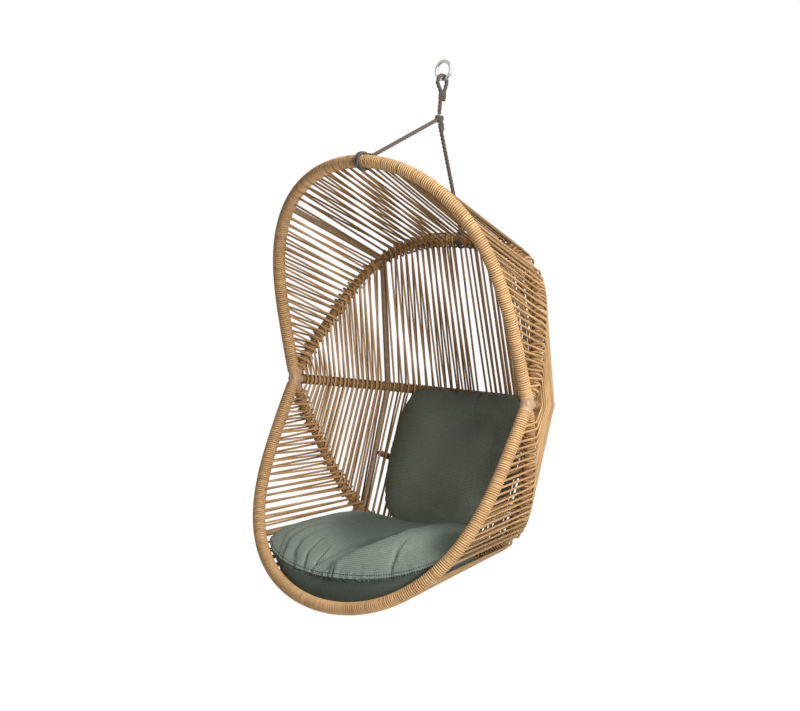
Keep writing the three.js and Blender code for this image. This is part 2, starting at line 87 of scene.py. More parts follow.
# %% [markdown]
# The photograph was taken from the front, to the sitter's left, at the height of the knuckles,
# with a long lens that was rolled a few degrees. A pinhole camera with the same direction,
# distance and roll gives the same picture, so the camera needs no shift.

# %% Camera
AZIMUTH = math.radians(39.48)
ELEVATION = math.radians(1.185)
DISTANCE = 5.697  # m, from the pod's middle
ROLL = math.radians(5.481)
YAW = math.radians(-0.257)
PITCH = math.radians(0.989)
LENS = 90  # mm
SENSOR_WIDTH = 36  # mm


def turned(first, second, angle):
    """Two directions square to each other, both turned by an angle from the first to the second:
    each becomes its cosine share of itself and a sine share of the other."""
    return (first * math.cos(angle) + second * math.sin(angle),
            second * math.cos(angle) - first * math.sin(angle))


towards_camera = Vector((math.sin(AZIMUTH) * math.cos(ELEVATION),
                         -math.cos(AZIMUTH) * math.cos(ELEVATION), math.sin(ELEVATION)))
ahead = -towards_camera
right = ahead.cross(Vector((0, 0, 1))).normalized()
up = right.cross(ahead)
right, ahead = turned(right, ahead, -YAW)
up, ahead = turned(up, ahead, -PITCH)
right, up = turned(right, up, ROLL)
camera = bpy.data.objects.new("camera", bpy.data.cameras.new("camera"))
camera.data.lens = LENS
camera.data.sensor_width = SENSOR_WIDTH
camera.data.sensor_fit = "HORIZONTAL"
camera.matrix_world = Matrix.Translation(Vector(POD_MIDDLE) + towards_camera * DISTANCE) @ Matrix(
    (right, up, -ahead)).transposed().to_4x4()
bpy.context.scene.collection.objects.link(camera)
bpy.context.scene.camera = camera
bpy.context.scene.view_settings.view_transform = "Standard"
print("camera at", tuple(round(v, 3) for v in camera.matrix_world.translation))

# %% [markdown]
# A finish is a small graph of nodes. One function turns a written colour to the linear values
# that Blender mixes in, and one adds a node, sets its own settings and feeds its sockets.

# %% Helpers for finishes


def linear(colour):
    """An sRGB hex colour as linear red, green, blue and alpha."""
    shares = np.array([int(colour[i:i + 2], 16) for i in (1, 3, 5)]) / 255
    bright = ((shares + 0.055) / 1.055) ** 2.4
    return (*np.where(shares <= 0.04045, shares / 12.92, bright).tolist(), 1.0)


def add_node(tree, kind, inputs=None, **settings):
    """Adds a node. An input is a plain value or the socket that feeds it."""
    node = tree.nodes.new("ShaderNode" + kind)
    for name, value in settings.items():
        setattr(node, name, value)
    for name, value in (inputs or {}).items():
        if isinstance(value, bpy.types.NodeSocket):
            tree.links.new(value, node.inputs[name])
        else:
            node.inputs[name].default_value = value
    return node


def new_finish(name):
    """An empty material and its tree."""
    material = bpy.data.materials.new(name)
    material.use_nodes = True
    material.node_tree.nodes.clear()
    return material, material.node_tree


def show(tree, **inputs):
    """Ends a finish with its shader, whose inputs are named with underscores for spaces."""
    spaced = {name.replace("_", " "): value for name, value in inputs.items()}
    shader = add_node(tree, "BsdfPrincipled", spaced)
    add_node(tree, "OutputMaterial", {"Surface": shader.outputs[0]})


def set_stops(ramp, *stops):
    """Gives a colour ramp its stops, each a position and a hex colour."""
    elements = ramp.color_ramp.elements
    while len(elements) < len(stops):
        elements.new(0.5)
    for element, (position, colour) in zip(elements, stops):
        element.position = position
        element.color = linear(colour)


# %% [markdown]
# New pieces are grids of points: rows along the piece, columns round it. Neighbouring points
# give the faces, wrapped round where the piece closes on itself, and one face closes each end.

# %% Helpers for meshes
MIDDLE_TONE = 0.5  # between a finish's darkest and lightest


def grid_faces(rows, columns, loop=False):
    """Quads between neighbours of a grid whose columns close on themselves, and its rows too
    for a loop. Without a loop, a many-sided face closes each end."""
    i = np.arange(rows if loop else rows - 1)[:, None]
    k = np.arange(columns)[None]
    after = (i + 1) % rows
    beside = (k + 1) % columns
    quads = np.stack([i * columns + k, i * columns + beside,
                      after * columns + beside, after * columns + k], -1).reshape(-1, 4)
    if loop:
        return [quads]
    ends = np.arange(columns)
    return [quads, ends[None, ::-1], (rows - 1) * columns + ends[None]]


def full_turn(count):
    """Angles once round, evenly spaced, without the one that closes the turn."""
    return np.linspace(0, 2 * math.pi, count, endpoint=False)


def put_mesh(name, points, faces):
    """A smooth mesh from points in metres and lists of faces with equal numbers of corners."""
    mesh = bpy.data.meshes.new(name)
    mesh.vertices.add(len(points))
    mesh.vertices.foreach_set("co", np.asarray(points, np.float32).ravel())
    corners = np.concatenate([block.ravel() for block in faces])
    counts = np.concatenate([np.full(len(block), block.shape[1]) for block in faces])
    mesh.loops.add(len(corners))
    mesh.loops.foreach_set("vertex_index", corners.astype(np.int32))
    mesh.polygons.add(len(counts))
    starts = np.concatenate([[0], np.cumsum(counts)[:-1]])
    mesh.polygons.foreach_set("loop_start", starts.astype(np.int32))
    mesh.update(calc_edges=True)
    mesh.shade_smooth()
    piece = bpy.data.objects.new(name, mesh)
    bpy.context.scene.collection.objects.link(piece)
    return piece


def store(piece, name, values):
    """Keeps one number or three for each corner of a piece, where its finish can read them."""
    kind, field = ("FLOAT", "value") if values.ndim == 1 else ("FLOAT_VECTOR", "vector")
    stored = piece.data.attributes.new(name, kind, "POINT")
    stored.data.foreach_set(field, values.astype(np.float32).ravel())


def finish_piece(piece, body, material, replaced=()):
    """Gives a piece its material, its body and the CAD nodes that it stands for."""
    piece.data.materials.clear()
    piece.data.materials.append(material)
    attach(piece, body)
    if replaced:
        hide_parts(*replaced)
    return piece


def unit(vectors):
    """Vectors divided by their own lengths."""
    return vectors / np.linalg.norm(vectors, axis=-1, keepdims=True)


def square_to(vectors, axis):
    """The vectors less their part along the unit axis, at length one."""
    return unit(vectors - (vectors * axis).sum(-1, keepdims=True) * axis)


def directions(path, loop=False):
    """Which way a path runs at each of its points."""
    if loop:
        return unit(np.roll(path, -1, 0) - np.roll(path, 1, 0))
    return unit(np.gradient(path, axis=0))


def distances(path):
    """How far along its path each point lies."""
    steps = np.linalg.norm(np.diff(path, axis=0), axis=1)
    return np.concatenate([[0], np.cumsum(steps)])


def tube(path, reference, profile, loop=False):
    """Rings square to the path, one for each of its points. profile gives the radius for each
    point and turn, and a spoke is the turn's cosine along the reference direction plus its sine
    along the third direction."""
    along = directions(path, loop)
    across = square_to(np.broadcast_to(reference, path.shape), along)[:, None]
    other = np.cross(along[:, None], across)
    turn = full_turn(profile.shape[1])[None, :, None]
    return path[:, None] + profile[..., None] * (np.cos(turn) * across + np.sin(turn) * other)


def put_tube(name, path, reference, profile, loop=False, tone=None):
    """Makes a tube's mesh and stores each corner's place on the straightened tube, in metres
    along and across it, and its tone, so that finishes can follow the tube."""
    rings = tube(path, reference, profile, loop)
    piece = put_mesh(name, in_row(rings.reshape(-1, 3)), grid_faces(*profile.shape, loop))
    turn = full_turn(profile.shape[1])
    along = np.broadcast_to(distances(path)[:, None], profile.shape)
    place = np.stack([along, profile * np.cos(turn), profile * np.sin(turn)], -1) * MM
    store(piece, "straightened", place.reshape(-1, 3))
    tones = np.full(len(path), MIDDLE_TONE) if tone is None else tone
    store(piece, "tone", np.repeat(tones, profile.shape[1]))
    return piece


# %% [markdown]
# The rope is laid polyester: three strands twisted together, matt and dark. It could be three
# tubes, but three round strands pressed together give a section of three lobes, and the twist
# turns that section steadily along the rope. So one tube with a formula for its radius does it.

# %% Rope finish and rope section
ROPE_RADIUS = 6  # mm
ROPE_LAY = 36  # mm, in which a strand goes once round
STRAND_SHARE = 0.54  # of the rope's radius
ROPE_STEP = 2  # mm, between rings
ROPE_SIDES = 30
CORNER_STEPS = 24  # along a curve between two corners, before its points are made even


def rope_profile(path, radius):
    """Radius of three round strands pressed into each other. Each has STRAND_SHARE of the rope's
    radius and lies the rest of it from the middle, and within 60 degrees of a strand's own
    direction the surface is that strand's far side. The directions turn once for each lay."""
    twisted = full_turn(ROPE_SIDES)[None] - 2 * math.pi * distances(path)[:, None] / ROPE_LAY
    third = 2 * math.pi / 3
    off = (twisted + third / 2) % third - third / 2
    strand = radius * STRAND_SHARE
    middle = radius - strand
    return middle * np.cos(off) + np.sqrt(np.maximum(strand**2 - (middle * np.sin(off))**2, 0))


def even_path(corners):
    """A smooth path through corners, with points at even steps along it. Each stretch is a cubic
    curve, whose direction at a corner is that from the corner before it to the one after."""
    corners = np.asarray(corners, float)
    padded = np.concatenate([[2 * corners[0] - corners[1]], corners, [2 * corners[-1] - corners[-2]]])
    before, start, end, after = (padded[i:len(padded) - 3 + i, None] for i in range(4))
    t = np.linspace(0, 1, CORNER_STEPS, endpoint=False)[None, :, None]
    curve = start + 0.5 * t * (end - before + t * (2 * before - 5 * start + 4 * end - after
                                                  + t * (3 * (start - end) + after - before)))
    curve = np.concatenate([curve.reshape(-1, 3), corners[-1:]])
    travelled = distances(curve)
    wanted = np.linspace(0, travelled[-1], int(travelled[-1] / ROPE_STEP) + 1)
    return np.stack([np.interp(wanted, travelled, curve[:, i]) for i in range(3)], -1)


# Spun polyester is matt and a little fuzzy. Its yarns, about 1.1 mm apart, give fine specks.
rope_finish, tree = new_finish("laid polyester rope")
place = add_node(tree, "Attribute", attribute_name="straightened")
yarns = add_node(tree, "TexNoise", {"Vector": place.outputs["Vector"], "Scale": 900.0, "Detail": 3.0})
shades = add_node(tree, "ValToRGB", {"Fac": yarns.outputs[0]})
set_stops(shades, (0.3, "#352E28"), (0.7, "#655B50"))
fuzz = add_node(tree, "Bump", {"Height": yarns.outputs[0], "Strength": 0.5, "Distance": 0.4 * MM})
show(tree, Base_Color=shades.outputs[0], Roughness=0.9, Sheen_Weight=0.3, Sheen_Roughness=0.5,
     Normal=fuzz.outputs[0])


def rope_piece(name, body, path, reference, radius=ROPE_RADIUS, replaced=(), loop=False):
    """A laid rope along a path, with its finish, its body and the node it stands for."""
    piece = put_tube(name, path, reference, rope_profile(path, radius), loop)
    return finish_piece(piece, body, rope_finish, replaced)


print(rope_finish.name, "with one turn in", ROPE_LAY, "mm")

# %% [markdown]
# Every hoop is one steel tube bent in a plane that leans about the knuckle line. It could be a
# curve drawn by hand, but a radius that depends on the angle gives all five from a few measured
# places: how far the hoop reaches in the middle, at its shoulder and at its flank.

# %% Hoops
HALF_SPAN = 430  # mm, pod's middle to a knuckle's middle
FLANK_ANGLE = math.pi / 6
HOOP_SAMPLES = 1441
RIM_RADIUS = 18.5  # mm, over the winding
BACK_RADIUS = 15  # mm, the back's hoops over theirs
HOOPS = {
    "hood_rim": dict(lean=114.2, reach=679, shoulder=554, flank=484, rib=59.8, radius=RIM_RADIUS),
    "upper_back_hoop": dict(lean=66.6, reach=490, shoulder=472, flank=439, rib=56.6, radius=BACK_RADIUS),
    "middle_back_hoop": dict(lean=0, reach=368, shoulder=390, flank=405, rib=42.5, radius=BACK_RADIUS),
    "lower_back_hoop": dict(lean=-63.4, reach=500, shoulder=479, flank=442, rib=57, radius=BACK_RADIUS),
    "seat_rim": dict(lean=-112.4, reach=658, shoulder=548, flank=483, rib=55.7, radius=RIM_RADIUS),
}  # lean above the level and the ribs' angle in degrees, the rest in mm


def wave(times, angle):
    """Half of one minus the cosine of the angle taken some times: nothing at the knuckles."""
    return (1 - np.cos(times * angle)) / 2


def hoop_radius(hoop, angle):
    """The half span and waves of twice, four and six times the angle, weighted so that the hoop
    passes through its flank at 30 degrees, its shoulder at 45 and its reach at 90."""
    growth = hoop["reach"] - HALF_SPAN
    swell = hoop["shoulder"] - (HALF_SPAN + hoop["reach"]) / 2
    by_waves = growth * wave(2, FLANK_ANGLE) + swell * wave(4, FLANK_ANGLE)
    pinch = (hoop["flank"] - HALF_SPAN - by_waves) / (wave(6, FLANK_ANGLE) - wave(2, FLANK_ANGLE))
    return HALF_SPAN + (growth - pinch) * wave(2, angle) + swell * wave(4, angle) + pinch * wave(6, angle)


def hoop_point(hoop, angle):
    """A hoop's middle line, at an angle from the left knuckle over the middle to the right one: the
    radius along the knuckle line by the cosine, and along the hoop's lean by the sine."""
    radius = hoop_radius(hoop, angle)
    lean = math.radians(hoop["lean"])
    out = radius * np.sin(angle)
    return np.stack([radius * np.cos(angle), out * math.cos(lean), out * math.sin(lean)], -1)


for hoop in HOOPS.values():
    hoop["angles"] = np.linspace(0, math.pi, HOOP_SAMPLES)
    hoop["travelled"] = distances(hoop_point(hoop, hoop["angles"]))


def angle_at(hoop, distance):
    """The angle at a distance along the hoop from the left knuckle."""
    return np.interp(distance, hoop["travelled"], hoop["angles"])


def distance_at(hoop, angle):
    """The distance along the hoop from the left knuckle to an angle."""
    return np.interp(angle, hoop["angles"], hoop["travelled"])


for name, hoop in HOOPS.items():
    print(name, "runs", round(hoop["travelled"][-1]), "mm from knuckle to knuckle")

# %% [markdown]
# A rope is wound twice round the hood rim's top and the upper back hoop's, and a leg runs from
# each to the knot. The winding is a coil that could be a solid collar, but only real turns show
# the rope's twist. A leg is pulled taut, so its path is a straight line from the outside of the
# lashing, and its length follows from the hoops and the knot.

# %% Bridle, lashings and knot
KNOT = np.array([0.0, KNOT_BEHIND, KNOT_ABOVE])
KNOT_RADIUS = 14
SEAT_GAP = 0.3  # mm, between a piece and what it is seated on
LASHING_RADIUS = 4
LASHING_GAP = 0.5
LASHING_PITCH = 9
LASHING_TURNS = 2
LASHING_STEPS = 48  # for a turn
FRAME_LASHING_STEPS = 16  # for a turn of the frame's own lashing
HITCH_RADIUS = 8.5
HITCH_RISE = 4  # mm, of its middle over the lashing's outside
HITCH_SLANT = 3.5  # mm, up at one end and down at the other
LEG_CORNERS = 15
TIED_RADIUS = 5.2  # mm, the rope where the knot squeezes it
KNOT_STEPS = 160
X_AXIS, Y_AXIS, Z_AXIS = np.eye(3)


def lashing_path(hoop, top, to_knot):
    """A coil round the hoop's highest point. Its spoke turns about the hoop while it climbs along
    it, and starts and ends on the side away from the knot. It runs through the corners of the
    frame's own coil, whose straight steps touch the smaller circle with their middles."""
    inner = hoop["radius"] + LASHING_GAP + LASHING_RADIUS
    radius = inner / math.cos(math.pi / FRAME_LASHING_STEPS)
    share = np.linspace(0, 1, LASHING_TURNS * LASHING_STEPS + 1)[:, None]
    turn = 2 * math.pi * LASHING_TURNS * share
    spoke = np.sin(turn) * np.cross(X_AXIS, to_knot) - np.cos(turn) * to_knot
    return top + radius * spoke + LASHING_PITCH * LASHING_TURNS * (share - 0.5) * X_AXIS, spoke, radius


def hitch_path(top, to_knot, radius):
    """The turn that ties a leg to its lashing: a ring round the leg's foot, which rises along the
    leg by the same cosine that carries it sideways, so that it slants."""
    turn = full_turn(LASHING_STEPS)[:, None]
    side = np.cross(X_AXIS, to_knot)
    slant = HITCH_SLANT * np.cos(turn) * to_knot
    foot = top + (radius + LASHING_RADIUS + HITCH_RISE) * to_knot
    return foot + HITCH_RADIUS * (np.cos(turn) * X_AXIS + np.sin(turn) * side) + slant


for end, hoop in (("front", HOOPS["hood_rim"]), ("rear", HOOPS["upper_back_hoop"])):
    top = hoop_point(hoop, math.pi / 2)
    to_knot = unit(KNOT - top)
    path, spoke, radius = lashing_path(hoop, top, to_knot)
    lashing = rope_piece(f"{end}_lashing_rope", "pod", path, spoke, LASHING_RADIUS, [f"{end}_rope_lashing"])
    path = hitch_path(top, to_knot, radius)
    hitch = rope_piece(f"{end}_lashing_hitch", "pod", path, to_knot, LASHING_RADIUS, loop=True)
    reach = np.linalg.norm(KNOT - top)
    start = top + to_knot * (radius + LASHING_RADIUS + SEAT_GAP)
    finish = top + to_knot * (reach - KNOT_RADIUS - SEAT_GAP)
    path = even_path(np.linspace(start, finish, LEG_CORNERS))
    leg = rope_piece(f"{end}_bridle_rope", "pod", path, X_AXIS, replaced=[f"{end}_rope_leg"])
    length = distances(path)[-1] * MM
    print(end, "leg", round(length, 3), "m")


def knot_path(centre, width, height):
    """An overhand knot's three crossings: a closed line that goes twice round, by sines and
    cosines of one and two turns, while it dips in and out three times."""
    turn = full_turn(KNOT_STEPS)[:, None]
    flat = (np.sin(turn) + 2 * np.sin(2 * turn)) * X_AXIS + (np.cos(turn) - 2 * np.cos(2 * turn)) * Y_AXIS
    return centre + width * flat - height * np.sin(3 * turn) * Z_AXIS


path = knot_path(KNOT, width=3.4, height=7)
rope_piece("bridle_knot", "knot", path, Z_AXIS, TIED_RADIUS, ["rope_knot"], loop=True)
tail_corners = KNOT + np.array([[0, 4, 0], [0, 12, -6], [1, 17, -14], [2, 19, -24], [2, 20, -32]])
rope_piece("bridle_knot_tail", "knot", even_path(tail_corners), X_AXIS, TIED_RADIUS)

# %% [markdown]
# The hanging rope rises from the knot, opens into an eye through a steel ring and comes back
# beside itself, where a whipping of thin line closes it. Its corners are listed one by one, because
# an eye has no formula that is shorter than they are. It hangs taut. The photograph shows only its
# foot, so its length is that of the short rope such a chair has.

# %% Hanging rope, eye and ring
RING_RADIUS = 26
RING_WIRE_RADIUS = 5
RING_STEPS = 128
RING_SIDES = 24
EYE_RADIUS = 14
THROAT_DROP = 38  # mm, from the eye's middle down to where it closes
WHIPPING_RADIUS = 1.1
WHIPPING_TURNS = 9
WHIPPING_STEPS = 24  # for a turn
WHIPPING_SIDES = 8
WHIPPING_PITCH = 2.2 * WHIPPING_RADIUS
WHIPPING_DROP = 12  # mm, from the throat down to the first turn
ring_low, ring_high = (np.array(corner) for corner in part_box("hanging_ring"))
RING = ((ring_low + ring_high) / 2 - POD_MIDDLE) / MM
eye = RING - Z_AXIS * (RING_RADIUS + EYE_RADIUS - RING_WIRE_RADIUS - SEAT_GAP)
eye_line = EYE_RADIUS + ROPE_RADIUS  # mm, from the eye's middle to the rope's own middle line
beside = 2 * ROPE_RADIUS + SEAT_GAP
foot = KNOT + Z_AXIS * (KNOT_RADIUS + SEAT_GAP)
throat = eye - Z_AXIS * THROAT_DROP
lower = [foot + (throat - foot) * share for share in (0, 0.33, 0.66, 1)]
shoulder_turns = np.radians([200, 180, 155, 130, 110, 90, 70, 50, 25, 0, -20])
loop_corners = [eye + eye_line * (math.cos(t) * Y_AXIS + math.sin(t) * Z_AXIS) for t in shoulder_turns]
ending = [throat + beside * Y_AXIS + Z_AXIS * rise for rise in (8, -4, -14)]
opening = [throat - 1.5 * Y_AXIS + 10 * Z_AXIS]
rope_path = even_path(lower + opening + loop_corners + ending)
hanging_rope = rope_piece("hanging_rope_laid", "rope", rope_path, X_AXIS, replaced=["hanging_rope"])

share = np.linspace(0, 1, WHIPPING_TURNS * WHIPPING_STEPS + 1)[:, None]
turn = 2 * math.pi * WHIPPING_TURNS * share
deep = ROPE_RADIUS + WHIPPING_RADIUS
wide = deep + beside / 2
oval = wide * np.cos(turn) * Y_AXIS + deep * np.sin(turn) * X_AXIS
rise = (WHIPPING_PITCH * WHIPPING_TURNS * share - WHIPPING_DROP) * Z_AXIS
path = throat + beside / 2 * Y_AXIS + oval + rise
whipping = put_tube("eye_whipping", path, Z_AXIS, np.full((len(path), WHIPPING_SIDES), WHIPPING_RADIUS))
finish_piece(whipping, "rope", rope_finish)

# Polished wire is a clear mirror with fine scratches, about 1.4 mm apart, that dull it in places.
steel_finish, tree = new_finish("polished stainless steel ring")
place = add_node(tree, "TexCoord")
drawn = add_node(tree, "TexNoise", {"Vector": place.outputs["Object"], "Scale": 700.0, "Detail": 2.0})
dull = add_node(tree, "MapRange", {"Value": drawn.outputs[0], "To Min": 0.18, "To Max": 0.34})
show(tree, Base_Color=linear("#B9B9B5"), Metallic=1.0, Roughness=dull.outputs[0])
turn = full_turn(RING_STEPS)[:, None]
path = RING + RING_RADIUS * (np.cos(turn) * X_AXIS + np.sin(turn) * Z_AXIS)
profile = np.full((RING_STEPS, RING_SIDES), float(RING_WIRE_RADIUS))
ring = put_tube("steel_ring", path, Y_AXIS, profile, loop=True)
finish_piece(ring, "hanger", steel_finish, ["hanging_ring"])

# %% [markdown]
# The fibre is extruded polyethylene, about 6 mm round, in tan with a darker batch among it, and a
# little glossy. A plain colour would look like plastic pipe. Its streaks run along each strand, so
# the finish reads the place on the straightened strand, and each strand's own tone picks between
# the two batches.

# %% Fibre finish
FIBRE_RADIUS = 3.1  # mm
TAN = ((0.0, "#B98E5C"), (0.5, "#CFA572"), (1.0, "#E2BC8A"))
BROWN = ((0.0, "#5C4124"), (0.5, "#77572F"), (1.0, "#96713F"))
CREASE = (0.4, 2.0)  # mm outward of a turn's middle line, from the darkest place to where the darkening ends
CREASE_BROWN = "#5A3F22"


def fibre_finish(name, roughness, wound=False):
    """Extruded fibre: streaks 2 mm wide and 40 mm long in each of two colour batches. Where it
    is wound, turn against turn, the colour darkens in the creases: away from the straightened
    strand's outward side, which is its own Y."""
    material, tree = new_finish(name)
    place = add_node(tree, "Attribute", attribute_name="straightened")
    stretched = add_node(tree, "Mapping", {"Vector": place.outputs["Vector"], "Scale": (25, 500, 500)})
    streaks = add_node(tree, "TexNoise", {"Vector": stretched.outputs[0], "Scale": 1.0, "Detail": 3.0})
    batches = []
    for stops in (BROWN, TAN):
        batches.append(add_node(tree, "ValToRGB", {"Fac": streaks.outputs[0]}))
        set_stops(batches[-1], *((0.3 + 0.4 * at, colour) for at, colour in stops))
    dark, light = (batch.outputs[0] for batch in batches)
    # The tone picks between the batches. Its random spread is the fibre's own; its lower values on the back
    # hoops and on the hood's and back's middles are painted shade.
    tone = add_node(tree, "Attribute", attribute_name="tone")
    mixed = add_node(tree, "Mix", {0: tone.outputs["Fac"], 6: dark, 7: light}, data_type="RGBA").outputs[2]
    if wound:
        # Darker colour in the creases between wound turns, away from their outward side.
        parts = add_node(tree, "SeparateXYZ", {0: place.outputs["Vector"]})
        crease_dark = add_node(tree, "MapRange", {"Value": parts.outputs[1], "From Min": CREASE[0] * MM,
                                           "From Max": CREASE[1] * MM, "To Min": 0.85, "To Max": 0.0})
        mixed = add_node(tree, "Mix", {0: crease_dark.outputs[0], 6: mixed, 7: linear(CREASE_BROWN)},
                         data_type="RGBA").outputs[2]
    ridges = add_node(tree, "Bump", {"Height": streaks.outputs[0], "Strength": 0.35, "Distance": 0.3 * MM})
    gloss = add_node(tree, "MapRange", {"Value": streaks.outputs[0], "To Min": roughness - 0.08,
                                        "To Max": roughness + 0.12})
    show(tree, Base_Color=mixed, Roughness=gloss.outputs[0], Specular_IOR_Level=0.3,
         Normal=ridges.outputs[0])
    return material


strung_fibre = fibre_finish("extruded resin fibre, strung", 0.45)
bound_fibre = fibre_finish("extruded resin fibre, bound", 0.5, wound=True)
print(strung_fibre.name, "and", bound_fibre.name)

# %% [markdown]
# The bare tubes and the knuckles are powder coated steel: plastic powder, baked on. It could be a
# flat colour, but baked powder clouds a little and dries with a fine orange peel, which breaks up
# the highlights. The knuckles have a lighter tan, rougher grain and a little more gloss.

# %% Powder coat


def powder_coat(name, colours, clouds, grain, bump, roughness):
    """Two close colours in clouds, and the peel of melted powder as a bump. clouds gives their
    scale and detail, grain the peel's scale, and bump its strength and its depth in mm."""
    material, tree = new_finish(name)
    place = add_node(tree, "TexCoord").outputs["Object"]
    cloud = add_node(tree, "TexNoise", {"Vector": place, "Scale": clouds[0], "Detail": clouds[1]})
    coat = add_node(tree, "ValToRGB", {"Fac": cloud.outputs[0]})
    set_stops(coat, (0.3, colours[0]), (0.7, colours[1]))
    peel = add_node(tree, "TexNoise", {"Vector": place, "Scale": grain, "Detail": 1.0})
    skin = add_node(tree, "Bump", {"Height": peel.outputs[0], "Strength": bump[0], "Distance": bump[1] * MM})
    show(tree, Base_Color=coat.outputs[0], Roughness=roughness, Normal=skin.outputs[0])
    return material


# The clouds are 17 and 22 mm wide and the peel's grains 0.7 and 0.8 mm, so the scales are 60 and
# 45, and 1400 and 1200, to the metre.
tube_finish = powder_coat("powder coated steel tube", ("#806548", "#9E8260"), (60.0, 4.0), 1400.0,
                          (0.25, 0.15), 0.42)
knuckle_finish = powder_coat("powder coated cast knuckle", ("#AE8D6B", "#BF9F7D"), (45.0, 5.0), 1200.0,
                             (0.2, 0.2), 0.36)
print(tube_finish.name, "and", knuckle_finish.name)

# %% [markdown]
# Every hoop is a bent steel tube with fibre wound round it, turn against turn. A winding is a
# helix of round fibre whose middle line lies one fibre's radius inside the hoop's outside. It
# could be a bumpy skin, but a true helix keeps the creases and the slant of each turn. The tube
# under it runs on bare to the knuckle.

# %% Windings
WINDING_PITCH = 6.3  # mm
TURN_STEPS = 16
FIBRE_SIDES = 8
TUBE_RINGS = 161
TUBE_SIDES = 24
TUBE_START = 20  # mm, from a knuckle's middle
TONE_RUN = 40  # mm of a hoop, after which its fibre's tone has wandered to another
WINDING_STARTS = {"hood_rim": 20, "seat_rim": 20, "upper_back_hoop": 25, "middle_back_hoop": 24,
                  "lower_back_hoop": 25}  # mm from the knuckle's middle
dice = np.random.default_rng(7)


def winding(middle_at, length, start, radius, square):
    """A helix round a middle line: the line plus a spoke that turns once for each pitch, as long
    as the winding's radius less the fibre's. middle_at gives points for distances, and square a
    direction that is never along the line."""
    travelled = np.arange(start, length - start, WINDING_PITCH / TURN_STEPS)
    middle = middle_at(travelled)
    along = directions(middle)
    across = square_to(np.broadcast_to(square, middle.shape), along)
    turn = (2 * math.pi * travelled / WINDING_PITCH)[:, None]
    spoke = np.cos(turn) * across + np.sin(turn) * np.cross(along, across)
    return middle + (radius - FIBRE_RADIUS) * spoke, spoke, travelled


def put_winding(name, path, spoke, travelled, tones, node):
    """A winding's piece. Its tone wanders between two values, with a new one for each run."""
    marks = np.arange(0, travelled[-1] + 2 * TONE_RUN, TONE_RUN)
    tone = np.interp(travelled, marks, dice.uniform(*tones, len(marks)))
    profile = np.full((len(path), FIBRE_SIDES), FIBRE_RADIUS)
    wound = put_tube(name, path, spoke, profile, tone=tone)
    finish_piece(wound, "pod", bound_fibre, [node])


def put_steel_tube(name, path, square, profile, replaced=()):
    """A coated steel tube's piece."""
    bare = put_tube(name, path, square, profile)
    finish_piece(bare, "pod", tube_finish, replaced)


# Each winding's tone wanders at random within its range. The back hoops' ranges are lower, and the middle
# hoop's lowest: painted shade inside the pod.
HOOP_TONES = {"hood_rim": (0.75, 1.0), "seat_rim": (0.75, 1.0), "upper_back_hoop": (0.45, 0.75),
              "middle_back_hoop": (0.1, 0.35), "lower_back_hoop": (0.45, 0.75)}
TUBE_UNDER = 2 * FIBRE_RADIUS - 0.4  # mm, from a winding's outside to the tube
for name, hoop in HOOPS.items():
    lean = math.radians(hoop["lean"])
    square = np.array([0, -math.sin(lean), math.cos(lean)])
    length = hoop["travelled"][-1]
    path, spoke, travelled = winding(lambda d: hoop_point(hoop, angle_at(hoop, d)), length,
                                     WINDING_STARTS[name], hoop["radius"], square)
    put_winding(name + "_winding", path, spoke, travelled, HOOP_TONES[name], name)
    places = np.linspace(TUBE_START, length - TUBE_START, TUBE_RINGS)
    profile = np.full((TUBE_RINGS, TUBE_SIDES), hoop["radius"] - TUBE_UNDER)
    put_steel_tube(name + "_tube", hoop_point(hoop, angle_at(hoop, places)), square, profile)
    print(name, "is wound with", round((length - 2 * WINDING_STARTS[name]) / WINDING_PITCH), "turns")

# %% [markdown]
# Bare tubes join the hoops at four heights on each side, and a wound bar crosses behind the back
# cushion. The tubes are welded to the hoops under the winding. A plain cylinder could do, but a
# radius that rises a little at both ends gives each its weld bead, and each runs into the winding.

# %% Struts, spines and the cross bar
RIB_RADIUS = 9
RIB_RINGS = 61
RIB_SIDES = 32
RIB_INSIDE = 10  # mm, from the hoop's middle to the tube's end, inside the winding
BEAD_RISE = 1.2  # mm
BEAD_WIDTH = 3  # mm, of the bead outside the winding
CROSS_BAR_RADIUS = 10
CROSS_BAR_START = 12  # mm, from the spines' middles to the bar's winding
CROSS_BAR_TONES = (0.1, 0.5)
CROSS_BAR_SIDES = 20
CROSS_BAR_SHARE = 0.52  # of the way down the lower spines
BAYS = {
    "hood": ("hood_rim", "upper_back_hoop", "hood_strut"),
    "upper_back": ("upper_back_hoop", "middle_back_hoop", "upper_spine"),
    "lower_back": ("middle_back_hoop", "lower_back_hoop", "lower_spine"),
    "seat": ("lower_back_hoop", "seat_rim", "seat_strut"),
}
SIDES = {"left": np.array([1.0, 1, 1]), "right": np.array([-1.0, 1, 1])}


def rib_end(hoop):
    """Where the left rib's middle line meets the hoop's."""
    return hoop_point(hoop, math.radians(hoop["rib"]))


def bead(share, width):
    """A weld bead's swelling in millimetres: a bell curve at each end of a rib, over a width given
    as a share of the rib."""
    from_end = np.minimum(share, 1 - share)
    return BEAD_RISE * np.exp(-((from_end / width) ** 2))


for upper, lower, rib in BAYS.values():
    for side, flip in SIDES.items():
        start, finish = rib_end(HOOPS[upper]) * flip, rib_end(HOOPS[lower]) * flip
        length = np.linalg.norm(finish - start)
        share = np.linspace(RIB_INSIDE / length, 1 - RIB_INSIDE / length, RIB_RINGS)
        path = start + (finish - start) * share[:, None]
        radii = RIB_RADIUS + bead(share, (HOOPS[upper]["radius"] + BEAD_WIDTH) / length)
        profile = np.repeat(radii[:, None], RIB_SIDES, 1)
        put_steel_tube(f"{side}_{rib}_tube", path, X_AXIS, profile, [f"{side}_{rib}"])
print(2 * len(BAYS), "ribs, the last", round(length), "mm from hoop to hoop")


